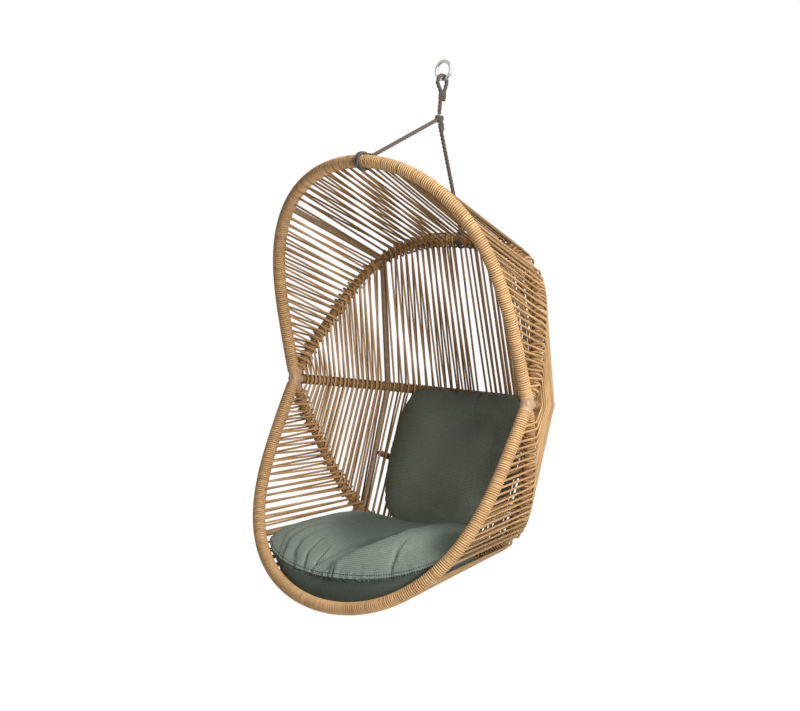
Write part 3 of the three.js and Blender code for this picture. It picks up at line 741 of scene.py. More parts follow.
def cross_bar_point(share):
    """Between the middle and the lower back hoop, at a fixed share of the way down, while both
    hoops' angles run from their left rib to their right one."""
    ends = []
    for name in ("middle_back_hoop", "lower_back_hoop"):
        rib = math.radians(HOOPS[name]["rib"])
        ends.append(hoop_point(HOOPS[name], rib + share * (math.pi - 2 * rib)))
    return ends[0] + (ends[1] - ends[0]) * CROSS_BAR_SHARE


share = np.linspace(0, 1, TUBE_RINGS)
bar_middle = cross_bar_point(share)
bar_travelled = distances(bar_middle)
path, spoke, travelled = winding(lambda d: cross_bar_point(np.interp(d, bar_travelled, share)),
                                 bar_travelled[-1], CROSS_BAR_START, CROSS_BAR_RADIUS, Z_AXIS)
put_winding("cross_bar_winding", path, spoke, travelled, CROSS_BAR_TONES, "back_cross_bar")
profile = np.full((TUBE_RINGS, CROSS_BAR_SIDES), CROSS_BAR_RADIUS - TUBE_UNDER)
put_steel_tube("cross_bar_tube", bar_middle, Z_AXIS, profile)
print("cross bar", round(bar_travelled[-1]), "mm from spine to spine")

# %% [markdown]
# The strung webs are the pod's walls. One strand goes over the outside of a hoop, round its far
# side and back on the inside to the next hoop, so that every second strand lies on the inner
# face. Each turn is half a circle in the plane across the hoop, and the stretches between turns
# are straight, because the fibre is pulled tight. On a rim the turns lie between the turns of the
# winding, so they are sunk into it. All the turns of a web are worked out at once.

# %% Turns of the strung webs
RIB_CLEARANCE = 14  # mm along a hoop, from a rib's middle to the nearest turn
CROWN_CLEARANCE = 12
KNUCKLE_CLEARANCE = 34
HALF_TURN_STEPS = 9
RIM_SINK = 6.5  # mm, how far a strand beds into the winding of a rim
HOOP_STAND = 2.6  # mm, how far it stands off the winding of the other hoops, over other strands
SMALL_ANGLE = 0.001  # radians, between two points that give a hoop's direction
CLIMBS = {1: 1.5, 2: 3.6}  # mm along the hoop to each side of a turn's middle, by its half turns
TURN_TONES = np.array([0.45, 0.62, 0.75, 0.9])
TONE_SHARES = [0.15, 0.25, 0.3, 0.3]
WANDER_SHARE = 0.14  # of the pitch, by which a turn sits beside its even place


def stations(hoop, sector, count, share):
    """Distances along a hoop of a web's turns, one for each, at a share of their pitch."""
    rib = distance_at(hoop, math.radians(hoop["rib"]))
    crown = hoop["travelled"][-1] / 2
    start, end = (KNUCKLE_CLEARANCE, rib - RIB_CLEARANCE) if sector == "wing" else (
        rib + RIB_CLEARANCE, crown - CROWN_CLEARANCE)
    wander = dice.uniform(-WANDER_SHARE, WANDER_SHARE, count)
    return start + (end - start) * (np.arange(count) + share + wander) / count


def across_hoop(hoop, other, sector, count, share):
    """For each turn: the hoop's middle, its direction, the direction away from the facing point
    of the other hoop and the direction out of the pod, all square to each other."""
    angle = angle_at(hoop, stations(hoop, sector, count, share))
    middle = hoop_point(hoop, angle)
    along = unit(hoop_point(hoop, angle + SMALL_ANGLE) - middle)
    facing = hoop_point(other, angle_at(other, stations(other, sector, count, share)))
    far = square_to(middle - facing, along)
    outward = np.cross(along, far)
    return middle, along, far, outward * np.sign((outward * middle).sum(-1, keepdims=True))


def turns_round(hoop, other, sector, count, share, outer_first, half_turns):
    """One turn round a hoop for each place: half a circle for each half turn, from the outer or
    the inner face round the hoop's far side, climbing a little along the hoop."""
    middle, along, far, outward = across_hoop(hoop, other, sector, count, share)
    stand = -RIM_SINK if hoop["radius"] == RIM_RADIUS else HOOP_STAND
    radius = hoop["radius"] + FIBRE_RADIUS + stand
    steps = np.linspace(0, 1, HALF_TURN_STEPS * half_turns + 1)[None, :, None]
    turn = math.pi * half_turns * steps
    climb = CLIMBS[half_turns] * (2 * steps - 1) * along[:, None]
    first = outward[:, None] if outer_first else -outward[:, None]
    spoke = np.cos(turn) * first + np.sin(turn) * far[:, None]
    points = middle[:, None] + radius * spoke + climb
    return points, np.broadcast_to(along[:, None], points.shape)


def strung(name, blocks, flip, nodes, brightness):
    """One strand through blocks of points, taken in turn for each place, and its piece. Each
    block has its own tone for each place, times the web's brightness."""
    points = np.concatenate([block[0] for block in blocks], 1)
    along = np.concatenate([block[1] for block in blocks], 1)
    tones = [np.repeat(brightness * dice.choice(TURN_TONES, (len(points), 1), p=TONE_SHARES),
                       block[0].shape[1], 1) for block in blocks]
    points, along = points.reshape(-1, 3) * flip, along.reshape(-1, 3) * flip
    profile = np.full((len(points), FIBRE_SIDES), FIBRE_RADIUS)
    strand = put_tube(name, points, along, profile, tone=np.concatenate(tones, 1).ravel())
    return finish_piece(strand, "pod", strung_fibre, nodes)


# %% [markdown]
# The hood and the seat have webs of one bay each. They could be strung alike, but under the
# cushion the strand goes the whole way round both hoops, so that it stays on the outer face and
# the cushion lies in the trough. The hood's middle gets mostly the darker batch of fibre, as
# painted shade under the hood.

# %% Hood and seat webs
WING_TURNS = {"hood": 20, "seat": 20}  # double strands on each side
CROWN_TURNS = {"hood": 12, "seat": 13}
WING_BRIGHTNESS = 0.85
# The hood's 0.1 puts mostly the darker batch into its middle: painted shade under the hood.
CROWN_BRIGHTNESS = {"hood": 0.1, "seat": 0.85}
CROWN_HALF_TURNS = {"hood": 1, "seat": 2}
LOWER_SHARE, UPPER_SHARE = 0.25, 0.75  # of a turn's pitch


def web(upper, lower, sector, count, half_turns):
    """A turn on the lower hoop and a turn on the upper one, for each place."""
    return [turns_round(lower, upper, sector, count, LOWER_SHARE, True, half_turns),
            turns_round(upper, lower, sector, count, UPPER_SHARE, half_turns == 2, half_turns)]


for bay in ("hood", "seat"):
    upper, lower, _ = BAYS[bay]
    for side, flip in SIDES.items():
        wing = web(HOOPS[upper], HOOPS[lower], "wing", WING_TURNS[bay], 1)
        strung(f"{side}_{bay}_wing_strand", wing, flip, [f"{side}_{bay}_wing_web"], WING_BRIGHTNESS)
        crown = web(HOOPS[upper], HOOPS[lower], "crown", CROWN_TURNS[bay], CROWN_HALF_TURNS[bay])
        strung(f"{side}_{bay}_strand", crown, flip, [f"{side}_{bay}_web"], CROWN_BRIGHTNESS[bay])
    print(bay, "has", 4 * (WING_TURNS[bay] + CROWN_TURNS[bay]), "strands side by side")

# %% [markdown]
# Behind the sitter one strand runs from the upper to the lower hoop of the back. It could be two
# webs that meet, but the real one goes down over the inner face of the middle hoop and comes up
# again behind it, so the middle hoop shows every second strand across its wound front. Each strand
# here replaces two of the frame's webs. The back's middle has a lower tone than its wings, as
# painted shade.

# %% Back webs
BACK_TURNS = {"wing": 18, "crown": 14}
# The crown's lower brightness is painted shade inside the pod.
BACK_BRIGHTNESS = {"wing": 0.85, "crown": 0.68}
CROSSING_REACH = 9  # mm, up and down the strand from where it crosses the middle hoop
CROSSING_FALL = 2  # mm, by which it is nearer the hoop's middle there
TOP_SHARE, DOWN_SHARE, BOTTOM_SHARE, UP_SHARE = 0.25, 0.4, 0.55, 0.9  # of a turn's pitch


def crossing(sector, count, share, side):
    """Where strands cross the middle hoop: three points in a flat arch over its inner (-1) or
    outer (1) face. Up is the direction from the lower to the upper hoop."""
    hoop = HOOPS["middle_back_hoop"]
    middle, along, _, _ = across_hoop(hoop, HOOPS["lower_back_hoop"], sector, count, share)
    up = square_to(np.broadcast_to(Z_AXIS, middle.shape), along)
    outward = np.cross(along, up)
    outward *= np.sign((outward * middle).sum(-1, keepdims=True))
    over = hoop["radius"] + FIBRE_RADIUS
    arch = np.array([(CROSSING_REACH, over - CROSSING_FALL), (0, over),
                     (-CROSSING_REACH, over - CROSSING_FALL)])
    rise, out = np.hsplit(arch if side < 0 else arch[::-1], 2)
    points = middle[:, None] + rise * up[:, None] + side * out * outward[:, None]
    return points, np.broadcast_to(along[:, None], points.shape)


for sector, count in BACK_TURNS.items():
    top, bottom = HOOPS["upper_back_hoop"], HOOPS["lower_back_hoop"]
    label = "wing_" if sector == "wing" else ""
    for side, flip in SIDES.items():
        blocks = [turns_round(top, bottom, sector, count, TOP_SHARE, True, 1),
                  crossing(sector, count, DOWN_SHARE, -1),
                  turns_round(bottom, top, sector, count, BOTTOM_SHARE, False, 1),
                  crossing(sector, count, UP_SHARE, 1)]
        strung(f"{side}_back_{label}strand", blocks, flip,
               [f"{side}_upper_back_{label}web", f"{side}_lower_back_{label}web"], BACK_BRIGHTNESS[sector])
    print("the back has", 2 * count, "double strands in each", sector)

# %% [markdown]
# A knuckle is where the five tubes meet: a casting with a short barrel across the pod and a stub
# for each hoop, ground and powder coated in a lighter tan. A boolean would leave sharp inner
# corners. Joining the shapes at a fine voxel size and smoothing them gives a casting's fillets.

# %% Knuckles
HUB_RADIUS = 17.5
HUB_HALF_WIDTH = 17
STUB_RADII = {"hood_rim": 16.5, "seat_rim": 16.5}  # mm, the stubs of the rims
STUB_RADIUS = 12.4  # mm, the other stubs
STUB_START = 0.5  # mm, from the knuckle's middle
STUB_LENGTH = 46
HUB_RINGS, HUB_SIDES = 41, 40
STUB_RINGS, STUB_SIDES = 24, 28
ROUNDING_SHARE = 1 / 4.4  # of the barrel's length, at each end
ROUNDING_POWER = 2.6  # of the rounding's curve, where a circle's is 2
JOIN_VOXEL = 1.5  # mm
FILLET_PASSES = 14
FILLET_FACTOR = 0.6


def hub_profile(share):
    """A barrel's radius: full over its middle, and falling at each end like the quarter of an oval
    whose coordinates, taken to ROUNDING_POWER, add up to one."""
    into_end = 1 - np.clip(np.minimum(share, 1 - share) / ROUNDING_SHARE, 0, 1)
    return HUB_RADIUS * np.clip(1 - into_end**ROUNDING_POWER, 0.02, 1) ** (1 / ROUNDING_POWER)


for side, flip in SIDES.items():
    share = np.linspace(0, 1, HUB_RINGS)
    middle = (HALF_SPAN + HUB_HALF_WIDTH * (2 * share[:, None] - 1)) * X_AXIS
    profile = np.repeat(hub_profile(share)[:, None], HUB_SIDES, 1)
    parts = [put_tube("barrel", middle * flip, Z_AXIS, profile)]
    for name, hoop in HOOPS.items():
        places = np.linspace(STUB_START, STUB_LENGTH, STUB_RINGS)
        profile = np.full((STUB_RINGS, STUB_SIDES), STUB_RADII.get(name, STUB_RADIUS))
        parts.append(put_tube("stub", hoop_point(hoop, angle_at(hoop, places)) * flip, X_AXIS, profile))
    bpy.ops.object.select_all(action="DESELECT")
    for part in parts:
        part.select_set(True)
    bpy.context.view_layer.objects.active = parts[0]
    bpy.ops.object.join()
    casting = parts[0]
    joined = casting.modifiers.new("weld", "REMESH")
    joined.mode = "VOXEL"
    joined.voxel_size = JOIN_VOXEL * MM
    fillet = casting.modifiers.new("fillet", "SMOOTH")
    fillet.iterations = FILLET_PASSES
    fillet.factor = FILLET_FACTOR
    bpy.ops.object.modifier_apply(modifier="weld")
    bpy.ops.object.modifier_apply(modifier="fillet")
    casting.name = casting.data.name = f"{side}_knuckle_casting"
    casting.data.shade_smooth()
    finish_piece(casting, "pod", knuckle_finish, [f"{side}_knuckle"])
    print(casting.name, len(casting.data.polygons), "faces")

# %% [markdown]
# The cushions are sewn covers of woven outdoor fabric over soft fill. Each starts as a closed
# surface of two parameters, thinner than the real one. A cloth simulation with air inside swells
# it between its seams, and its corners may move only so far. Seams, pleats and folds are pressed
# in afterwards, because the even squares that a simulation needs would lose them.

# %% Reading and moving a mesh's corners


def vectors_of(items, field):
    """One field of a mesh's items, three numbers each."""
    flat = np.empty(3 * len(items), np.float32)
    items.foreach_get(field, flat)
    return flat.reshape(-1, 3).astype(float)


def corners_of(mesh):
    """A mesh's corners in the pod's millimetres."""
    return (vectors_of(mesh.vertices, "co") - POD_MIDDLE) / MM


def normals_of(mesh):
    """The direction out of the mesh at each corner."""
    return vectors_of(mesh.vertex_normals, "vector")


def place_corners(piece, points):
    """Moves a piece's corners to points in the pod's millimetres."""
    piece.data.vertices.foreach_set("co", in_row(points).astype(np.float32).ravel())
    piece.data.update()


def push_out(piece, rise):
    """Moves each corner along its normal by its own rise in millimetres."""
    place_corners(piece, corners_of(piece.data) + rise[:, None] * normals_of(piece.data))


# %% Swelling a padded piece
AIR_FRAMES = 20
AIR_PRESSURE = 4
CLOTH_SQUARE = 5  # mm, before the squares are halved
SWELL_MOST = 20  # mm


def settle(piece, kind, **settings):
    """Adds a modifier with its settings and applies it."""
    modifier = piece.modifiers.new(kind.lower(), kind)
    for name, value in settings.items():
        setattr(modifier, name, value)
    bpy.context.view_layer.objects.active = piece
    bpy.ops.object.modifier_apply(modifier=modifier.name)


def blown_up(piece, held):
    """Where the piece's corners are once air has swelled it as cloth. The held ones stay."""
    cloth = piece.modifiers.new("air", "CLOTH")
    cloth.settings.use_pressure = True
    cloth.settings.uniform_pressure_force = AIR_PRESSURE
    cloth.settings.effector_weights.gravity = 0
    pins = piece.vertex_groups.new(name="sewn down")
    pins.add(np.flatnonzero(held).tolist(), 1.0, "REPLACE")
    cloth.settings.vertex_group_mass = pins.name
    cloth.point_cache.frame_end = AIR_FRAMES
    for frame_number in range(1, AIR_FRAMES + 1):
        bpy.context.scene.frame_set(frame_number)
    swollen = piece.evaluated_get(bpy.context.evaluated_depsgraph_get())
    points = corners_of(swollen.data)
    piece.modifiers.remove(cloth)
    piece.vertex_groups.remove(pins)
    bpy.context.scene.frame_set(1)
    return points


def swell(piece, held):
    """Cuts a closed piece into even squares, swells it, keeps each corner's place before that in
    the attribute sewn, halves the squares and returns those places."""
    settle(piece, "REMESH", mode="VOXEL", voxel_size=CLOTH_SQUARE * MM)
    before = corners_of(piece.data)
    store(piece, "sewn", before)
    holding = held(before)
    move = blown_up(piece, holding) - before
    far = np.linalg.norm(move, axis=1, keepdims=True)
    print(piece.name, len(before), "corners, moved", far.mean().round(1), "mm, most", far.max().round(1))
    place_corners(piece, before + move * SWELL_MOST / np.maximum(far, SWELL_MOST))
    settle(piece, "SUBSURF", levels=1, render_levels=1)
    piece.data.shade_smooth()
    return vectors_of(piece.data.attributes["sewn"].data, "vector")


# %% [markdown]
# A cushion that leans on tubes and strands gives way to them, and a cover that went through them
# would show strands inside the cloth. A second simulation could press them in, but it would be
# slow and could jump over a thin strand. Lines cast at the harder pieces find each dent instead.

# %% Dents where harder pieces press in
DENT_GAP = 1.2  # mm
DENT_HALF_WIDTH = 3.5  # mm
DENT_SPREAD = 10  # corners to each side that a dent's edge takes
DENT_FALL_SHARE = 0.94


def both_sides(*parts):
    """The left and the right piece of each name."""
    return [bpy.data.objects[f"{side}_{part}"] for side in SIDES for part in parts]


def dent(piece, others, inside, way, beside_it):
    """Presses a soft piece in where it meets harder ones. Lines run from a place inside, one for
    each corner, the one way to the corner and to DENT_HALF_WIDTH beside it in two directions. A
    corner past the first harder face on them moves back to DENT_GAP before that face, and the
    corners around follow by a falling share of their neighbours' mean, so that a dent's sides are
    soft."""
    corners = []
    faces = []
    for other in others:
        first = len(corners)
        corners.extend(corners_of(other.data).tolist())
        faces.extend([first + corner for corner in face.vertices] for face in other.data.polygons)
    wall = BVHTree.FromPolygons(corners, faces)
    places = corners_of(piece.data)
    reach = ((places - inside) * way).sum(1)
    move = np.zeros(len(places))
    shifts = DENT_HALF_WIDTH * np.concatenate([np.zeros((1, 3)), beside_it, -beside_it])
    for i in np.flatnonzero(reach > 0):
        for start in (inside[i] + shifts).tolist():
            distance = wall.ray_cast(start, way[i].tolist(), reach[i] + DENT_GAP)[3]
            if distance is not None:
                move[i] = max(move[i], reach[i] + DENT_GAP - distance)
    print(piece.name, "is dented at", int((move > 0).sum()), "corners, at most", move.max().round(1), "mm")
    ends = np.array([edge.vertices[:] for edge in piece.data.edges])
    near = np.bincount(ends.ravel(), minlength=len(move))
    for _ in range(DENT_SPREAD):
        beside = np.bincount(ends[:, 0], move[ends[:, 1]], len(move))
        beside += np.bincount(ends[:, 1], move[ends[:, 0]], len(move))
        move = np.maximum(move, DENT_FALL_SHARE * beside / near)
    place_corners(piece, places - move[:, None] * way)


# %% [markdown]
# Seen from above a cushion is a rounded square and seen from the side a dome. Both could be drawn
# with a pen, but a circle's sine and cosine taken to a power give the first, and a power of the
# way to the edge gives the second, with one number each for how full they are.

# %% Rounded squares, domes and spots
TURN_COLUMNS = 200  # round a cushion
FACE_ROWS = 44  # from the middle of a cushion's face to its edge
FIRST_SHARE = 0.02  # of the way to the edge, at the innermost ring
WAY_SAMPLES = 400


def squircle(turn, squareness):
    """A rounded square's cosine and sine: the circle's, taken to a power below one."""
    power = 2 / squareness
    return (np.sign(np.cos(turn)) * np.abs(np.cos(turn)) ** power,
            np.sign(np.sin(turn)) * np.abs(np.sin(turn)) ** power)


def dome(share, powers):
    """A crown's height: one less a power of the share, taken to another power. It is full in the
    middle and nothing at the share of one."""
    return (1 - np.clip(share, 0, 1) ** powers[0]) ** powers[1]


def way_over(rise, size, powers):
    """How much longer the way over a dome is than straight below it, from its middle to a share.
    Cloth is measured along the first, so that its yarns keep their spacing on steep sides."""
    share = np.linspace(0, 1, WAY_SAMPLES)
    way = distances(np.stack([share * size, rise * dome(share, powers)], -1))
    return lambda at: np.interp(at, share[1:], way[1:] / (share[1:] * size))


def spot(places, middle, size, power=1):
    """One at a middle, fading to nothing over an oval of a half size: a bell curve of the distance
    in ovals, squared and taken to a power. A higher power has a flatter top and a sharper edge."""
    far = (((places - middle) / size) ** 2).sum(-1)
    return np.exp(-(far**power))


# %% [markdown]
# Folds, puckers and stitching show that the covers are sewn. The simulation's squares are too
# coarse for them and a painted bump would be flat from the side, so formulas push the swelled
# cloth in and out: folds along listed paths, and puckers as waves along a seam.

# %% Folds and gathers
FOLD_STEEPNESS_SHARE = 0.4  # of a fold's width, over which the cloth steps up
FADE_START, FADE_RUN = 0.12, 0.86  # a fold's ends on a half wave
GATHER_WAVES = 9
GATHER_SHARE = 1 / 4  # of the waves' sum, which keeps most of it between -1 and 1


def fold(places, path, behind, ahead, width, reach):
    """A fold along a path in the cloth's own millimetres. On its right side the cloth rises to
    ahead and sinks back over reach, on its left it drops to -behind and recovers over width. A
    tangent curve joins the two, and both fade towards the path's ends."""
    path = np.asarray(path, float)
    start, step = path[:-1], np.diff(path, axis=0)
    off = places[:, None] - start
    share = np.clip((off * step).sum(-1) / (step**2).sum(-1), 0, 1)
    gap = off - share[..., None] * step
    near = np.linalg.norm(gap, axis=-1).argmin(1)
    rows = np.arange(len(places))
    gap, step, along = gap[rows, near], step[near], (near + share[rows, near]) / len(start)
    left = step[:, 0] * gap[:, 1] - step[:, 1] * gap[:, 0] > 0
    distance = np.linalg.norm(gap, axis=-1)
    signed = np.where(left, -distance, distance)
    over = 0.5 + 0.5 * np.tanh(signed / (FOLD_STEEPNESS_SHARE * width))
    rise = over * ahead * np.exp(-np.maximum(signed, 0) / reach)
    drop = (1 - over) * behind * np.exp(-((signed / width) ** 2))
    ending = np.clip(FADE_START + FADE_RUN * along, 0, 1)
    return (rise - drop) * np.sqrt(np.clip(np.sin(math.pi * ending), 0, 1))


def gathers(around, length, count, seed):
    """Uneven puckers along a closed seam: the sum of waves whose numbers lie around the count."""
    toss = np.random.default_rng(seed)
    waves = toss.integers(count // 2, count * 2, GATHER_WAVES)
    phases = toss.uniform(0, 2 * math.pi, GATHER_WAVES)
    turn = 2 * math.pi * around[:, None] / length
    return np.sin(waves * turn + phases).sum(1) * GATHER_SHARE


# %% [markdown]
# The covers are plain woven olefin, a matt outdoor cloth with melange yarns. A picture of cloth
# could be laid on, but a weave is simple enough to count: each yarn goes over and under the next,
# and the place in the cloth says which of the two lies on top. Sheen is the yarns' short fuzz.

# %% Woven fabric finish
YARN_PITCH = 4.2  # mm; the real yarns lie about 1.5 mm apart, too fine to show at this distance
STITCH_PITCH = 7  # mm
STITCH_LENGTH = 4.6
STITCH_ROWS = (1.5, 10.5)  # mm from the seam, on the side that its allowance is folded to


def woven_finish(name, shade, base, lit, flat, thread_colour):
    """Plain woven cloth. A yarn's height is the size of a sine along its count, and a checker
    picks the yarn on top. The seam's stitches sink in along two rows. The attribute tone is painted
    shade: 1 for the plain cloth, and less where it mixes in flat, the colour of the deepest painted
    shade, and takes the sheen down with it."""
    material, tree = new_finish(name)
    cloth = add_node(tree, "Attribute", attribute_name="cloth")
    counted = add_node(tree, "VectorMath", {0: cloth.outputs["Vector"], "Scale": 1000 / YARN_PITCH},
                       operation="SCALE")
    counts = add_node(tree, "SeparateXYZ", {0: counted.outputs[0]})
    rounds = []
    for axis in (0, 1):
        turn = add_node(tree, "Math", {0: counts.outputs[axis], 1: math.pi}, operation="MULTIPLY")
        wave_height = add_node(tree, "Math", {0: turn.outputs[0]}, operation="SINE")
        rounds.append(add_node(tree, "Math", {0: wave_height.outputs[0]}, operation="ABSOLUTE").outputs[0])
    checks = add_node(tree, "TexChecker", {"Vector": counted.outputs[0], "Scale": 1.0})
    yarns = []
    for stretch in ((40, 700, 1), (700, 40, 1)):
        long_way = add_node(tree, "Mapping", {"Vector": cloth.outputs["Vector"], "Scale": stretch})
        fibres = {"Vector": long_way.outputs[0], "Scale": 1.0, "Detail": 2.0}
        yarns.append(add_node(tree, "TexNoise", fibres).outputs[0])
    on_top = add_node(tree, "Mix", {0: checks.outputs["Fac"], 2: rounds[0], 3: rounds[1]})
    melange = add_node(tree, "Mix", {0: checks.outputs["Fac"], 2: yarns[1], 3: yarns[0]})
    seam = add_node(tree, "Attribute", attribute_name="seam")
    seam_place = add_node(tree, "SeparateXYZ", {0: seam.outputs["Vector"]})
    within = add_node(tree, "Math", {0: seam_place.outputs[1], 1: STITCH_PITCH * MM},
                      operation="FLOORED_MODULO")
    thread = add_node(tree, "Math", {0: within.outputs[0], 1: STITCH_LENGTH * MM}, operation="LESS_THAN")
    rows = None
    for row in STITCH_ROWS:
        off = add_node(tree, "Math", {0: seam_place.outputs[0], 1: row * MM}, operation="SUBTRACT")
        gap = add_node(tree, "Math", {0: off.outputs[0]}, operation="ABSOLUTE")
        hit = add_node(tree, "MapRange", {"Value": gap.outputs[0], "From Min": 1.0 * MM, "From Max": 2.1 * MM,
                                          "To Min": 1.0, "To Max": 0.0})
        rows = hit if rows is None else add_node(tree, "Math", {0: rows.outputs[0], 1: hit.outputs[0]},
                                                 operation="MAXIMUM")
    stitches = add_node(tree, "Math", {0: thread.outputs[0], 1: rows.outputs[0]}, operation="MULTIPLY")
    # The colour follows the yarn's height times its melange. It is partly the melange's own colour, and
    # partly painted shade where a yarn dips under its neighbour and painted light where it stands high.
    tone = add_node(tree, "Math", {0: on_top.outputs[0], 1: melange.outputs[0]}, operation="MULTIPLY")
    colours = add_node(tree, "ValToRGB", {"Fac": tone.outputs[0]})
    set_stops(colours, (0.05, shade), (0.3, base), (0.62, lit))
    # Painted shade: a tone below 1 mixes the cloth towards flat and lowers the sheen.
    painted_shade = add_node(tree, "Attribute", attribute_name="tone")
    shaded_cloth = add_node(tree, "Mix", {0: painted_shade.outputs["Fac"], 6: linear(flat), 7: colours.outputs[0]},
                        data_type="RGBA")
    sewn = add_node(tree, "Mix", {0: stitches.outputs[0], 6: shaded_cloth.outputs[2], 7: linear(thread_colour)},
                    data_type="RGBA")
    height = add_node(tree, "Math", {0: on_top.outputs[0], 1: stitches.outputs[0]}, operation="SUBTRACT")
    relief = add_node(tree, "Bump", {"Height": height.outputs[0], "Strength": 0.6, "Distance": 0.7 * MM})
    fuzz = add_node(tree, "Math", {0: painted_shade.outputs["Fac"], 1: 0.12}, operation="MULTIPLY")
    show(tree, Base_Color=sewn.outputs[2], Roughness=0.88, Specular_IOR_Level=0.12,
         Sheen_Weight=fuzz.outputs[0], Sheen_Roughness=0.6, Normal=relief.outputs[0])
    return material


def measure_cloth(piece, cloth_place, seam_place, tone):
    """Stores each corner's tone, its place in the cloth, and its place across and along the seam.
    Both places are given in millimetres and stored in metres."""
    store(piece, "tone", tone)
    for name, (first, second) in (("cloth", cloth_place), ("seam", seam_place)):
        store(piece, name, np.stack([first, second, np.zeros_like(first)], -1) * MM)


seat_fabric = woven_finish("woven olefin, sage green", "#5B685D", "#839284", "#A6B3A4", "#37433A", "#2E342F")
back_fabric = woven_finish("woven olefin, dark olive", "#565E52", "#919A89", "#B0B8A4", "#363C36", "#343934")
print(seat_fabric.name, "and", back_fabric.name)

# %% [markdown]
# The seat cushion is boxed: a crowned top, a side band and a flat underside, with a double-stitched
# seam between top and band. It lies in the trough of the strung seat, so its height is counted
# from there. A boxed mesh could be modelled by hand, but as a formula it follows the trough.

# %% Seat cushion's form
SEAT = dict(front=-222.4, back=132, widest_at=-110, taper_share=0.12, lift=-12, band_middle=76,
            band_left=68, band_right=40, crown=104, end_drop_share=0.12, squareness=3.9,
            powers=(2.7, 0.78))
STRUT_CLEARANCE = 13  # mm, from the seat struts' middles to the cushion's foot
OVER_STRUTS = 52  # mm, how far the cushion bulges sideways over the struts
BAND_ROWS = 12
BAND_BULGE_SHARE = 0.008  # of the half width, halfway down the band
BAND_DRAW_SHARE = 0.02  # of the half width, by which the foot is drawn in
UNDERSIDE_ROWS = 24
UNDERSIDE_START_SHARE = 0.96  # of the way to the outline, at the underside's outermost ring
HALVINGS = 16
SEAT_MIDDLE = (SEAT["front"] + SEAT["back"]) / 2
SEAT_HALF_DEPTH = (SEAT["back"] - SEAT["front"]) / 2
strut_ends = [rib_end(HOOPS[name])[0] for name in ("lower_back_hoop", "seat_rim")]
SEAT_HALF_WIDTH = sum(strut_ends) / 2 - STRUT_CLEARANCE


def strung_seat_height(x, y):
    """Height of the surface between the lower back hoop and the seat rim. Its lines join points at
    the same share of the way from rib to middle, and halving finds the line through each place."""
    low, high = np.full(x.shape, -0.5), np.ones(x.shape)
    for _ in range(HALVINGS):
        share = (low + high) / 2
        ends = []
        for name in ("lower_back_hoop", "seat_rim"):
            hoop = HOOPS[name]
            rib = distance_at(hoop, math.radians(hoop["rib"]))
            ends.append(hoop_point(hoop, angle_at(hoop, rib + share * (hoop["travelled"][-1] / 2 - rib))))
        back, front = ends
        line = back + (front - back) * ((y - back[..., 1]) / (front[..., 1] - back[..., 1]))[..., None]
        outside = line[..., 0] > np.abs(x)
        low, high = np.where(outside, share, low), np.where(outside, high, share)
    return line[..., 2]


def seat_taper(y):
    """The cushion's width at a depth, as a share of its greatest width: it falls evenly from its
    widest place to the back."""
    behind = np.maximum(y - SEAT["widest_at"], 0)
    return 1 - SEAT["taper_share"] * behind / (SEAT["back"] - SEAT["widest_at"])


def seat_levels(x, y):
    """Heights of the underside and of the seam at a place seen from above. The underside follows
    the strung seat, and the band between the two is a parabola across, through its height in the
    middle and at both ends."""
    side = x / SEAT_HALF_WIDTH
    ends = (SEAT["band_left"] + SEAT["band_right"]) / 2 - SEAT["band_middle"]
    band = SEAT["band_middle"] + (SEAT["band_left"] - SEAT["band_right"]) / 2 * side + ends * side**2
    under = strung_seat_height(x, y) + SEAT["lift"]
    return under, under + band


def over_struts(points, back=False):
    """Leans the cushion's ends out over the struts: sideways by OVER_STRUTS, growing with the
    square of the place across and with the height over the underside. back undoes it."""
    x, y, z = np.moveaxis(points, -1, 0)
    side = np.clip(x / (SEAT_HALF_WIDTH + (OVER_STRUTS if back else 0)), -1, 1)
    under, seam = seat_levels(side * SEAT_HALF_WIDTH, y)
    rise = np.clip((z - under) / np.maximum(seam - under, 1), 0, 1)
    lean = OVER_STRUTS * side * np.abs(side) * rise**2
    return np.stack([x - lean if back else x + lean, y, z], -1)


def seat_rows(shares, height):
    """Rings at shares of the way from the middle to the outline, a rounded square. height gives
    each point's height from the levels of the underside and the seam, its share and how far
    across it is."""
    shares = np.asarray(shares, float)[:, None]
    c, s = squircle(full_turn(TURN_COLUMNS)[None], SEAT["squareness"])
    y = SEAT_MIDDLE + SEAT_HALF_DEPTH * s * shares
    x = SEAT_HALF_WIDTH * seat_taper(y) * c * shares
    under, seam = seat_levels(x, y)
    return over_struts(np.stack([x, y, height(under, seam, shares, (x / SEAT_HALF_WIDTH) ** 2)], -1))


def seat_seam():
    """The seam's line, one ring."""
    return seat_rows([1.0], lambda under, seam, share, across: seam)[0]


def crowned(under, seam, share, across):
    """The top's height: a dome over the seam, lower towards both ends."""
    return seam + SEAT["crown"] * dome(share, SEAT["powers"]) * (1 - SEAT["end_drop_share"] * across)


fall = np.linspace(0, 1, BAND_ROWS)[1:, None]
bulge = BAND_BULGE_SHARE * np.sin(math.pi * fall[:, 0]) - BAND_DRAW_SHARE * fall[:, 0] ** 3
inwards = np.linspace(UNDERSIDE_START_SHARE, FIRST_SHARE, UNDERSIDE_ROWS)
top = seat_rows(np.sin(np.linspace(FIRST_SHARE, math.pi / 2, FACE_ROWS)), crowned)
band = seat_rows(1 + bulge, lambda under, seam, share, across: seam + (under - seam) * fall)
underside = seat_rows(inwards, lambda under, seam, share, across: under)
grid = np.concatenate([top, band, underside])
seat_cushion = put_mesh("seat_cushion_cover", in_row(grid.reshape(-1, 3)), grid_faces(*grid.shape[:2]))
print("seat cushion from", grid.min((0, 1)).round(), "to", grid.max((0, 1)).round(), "mm")
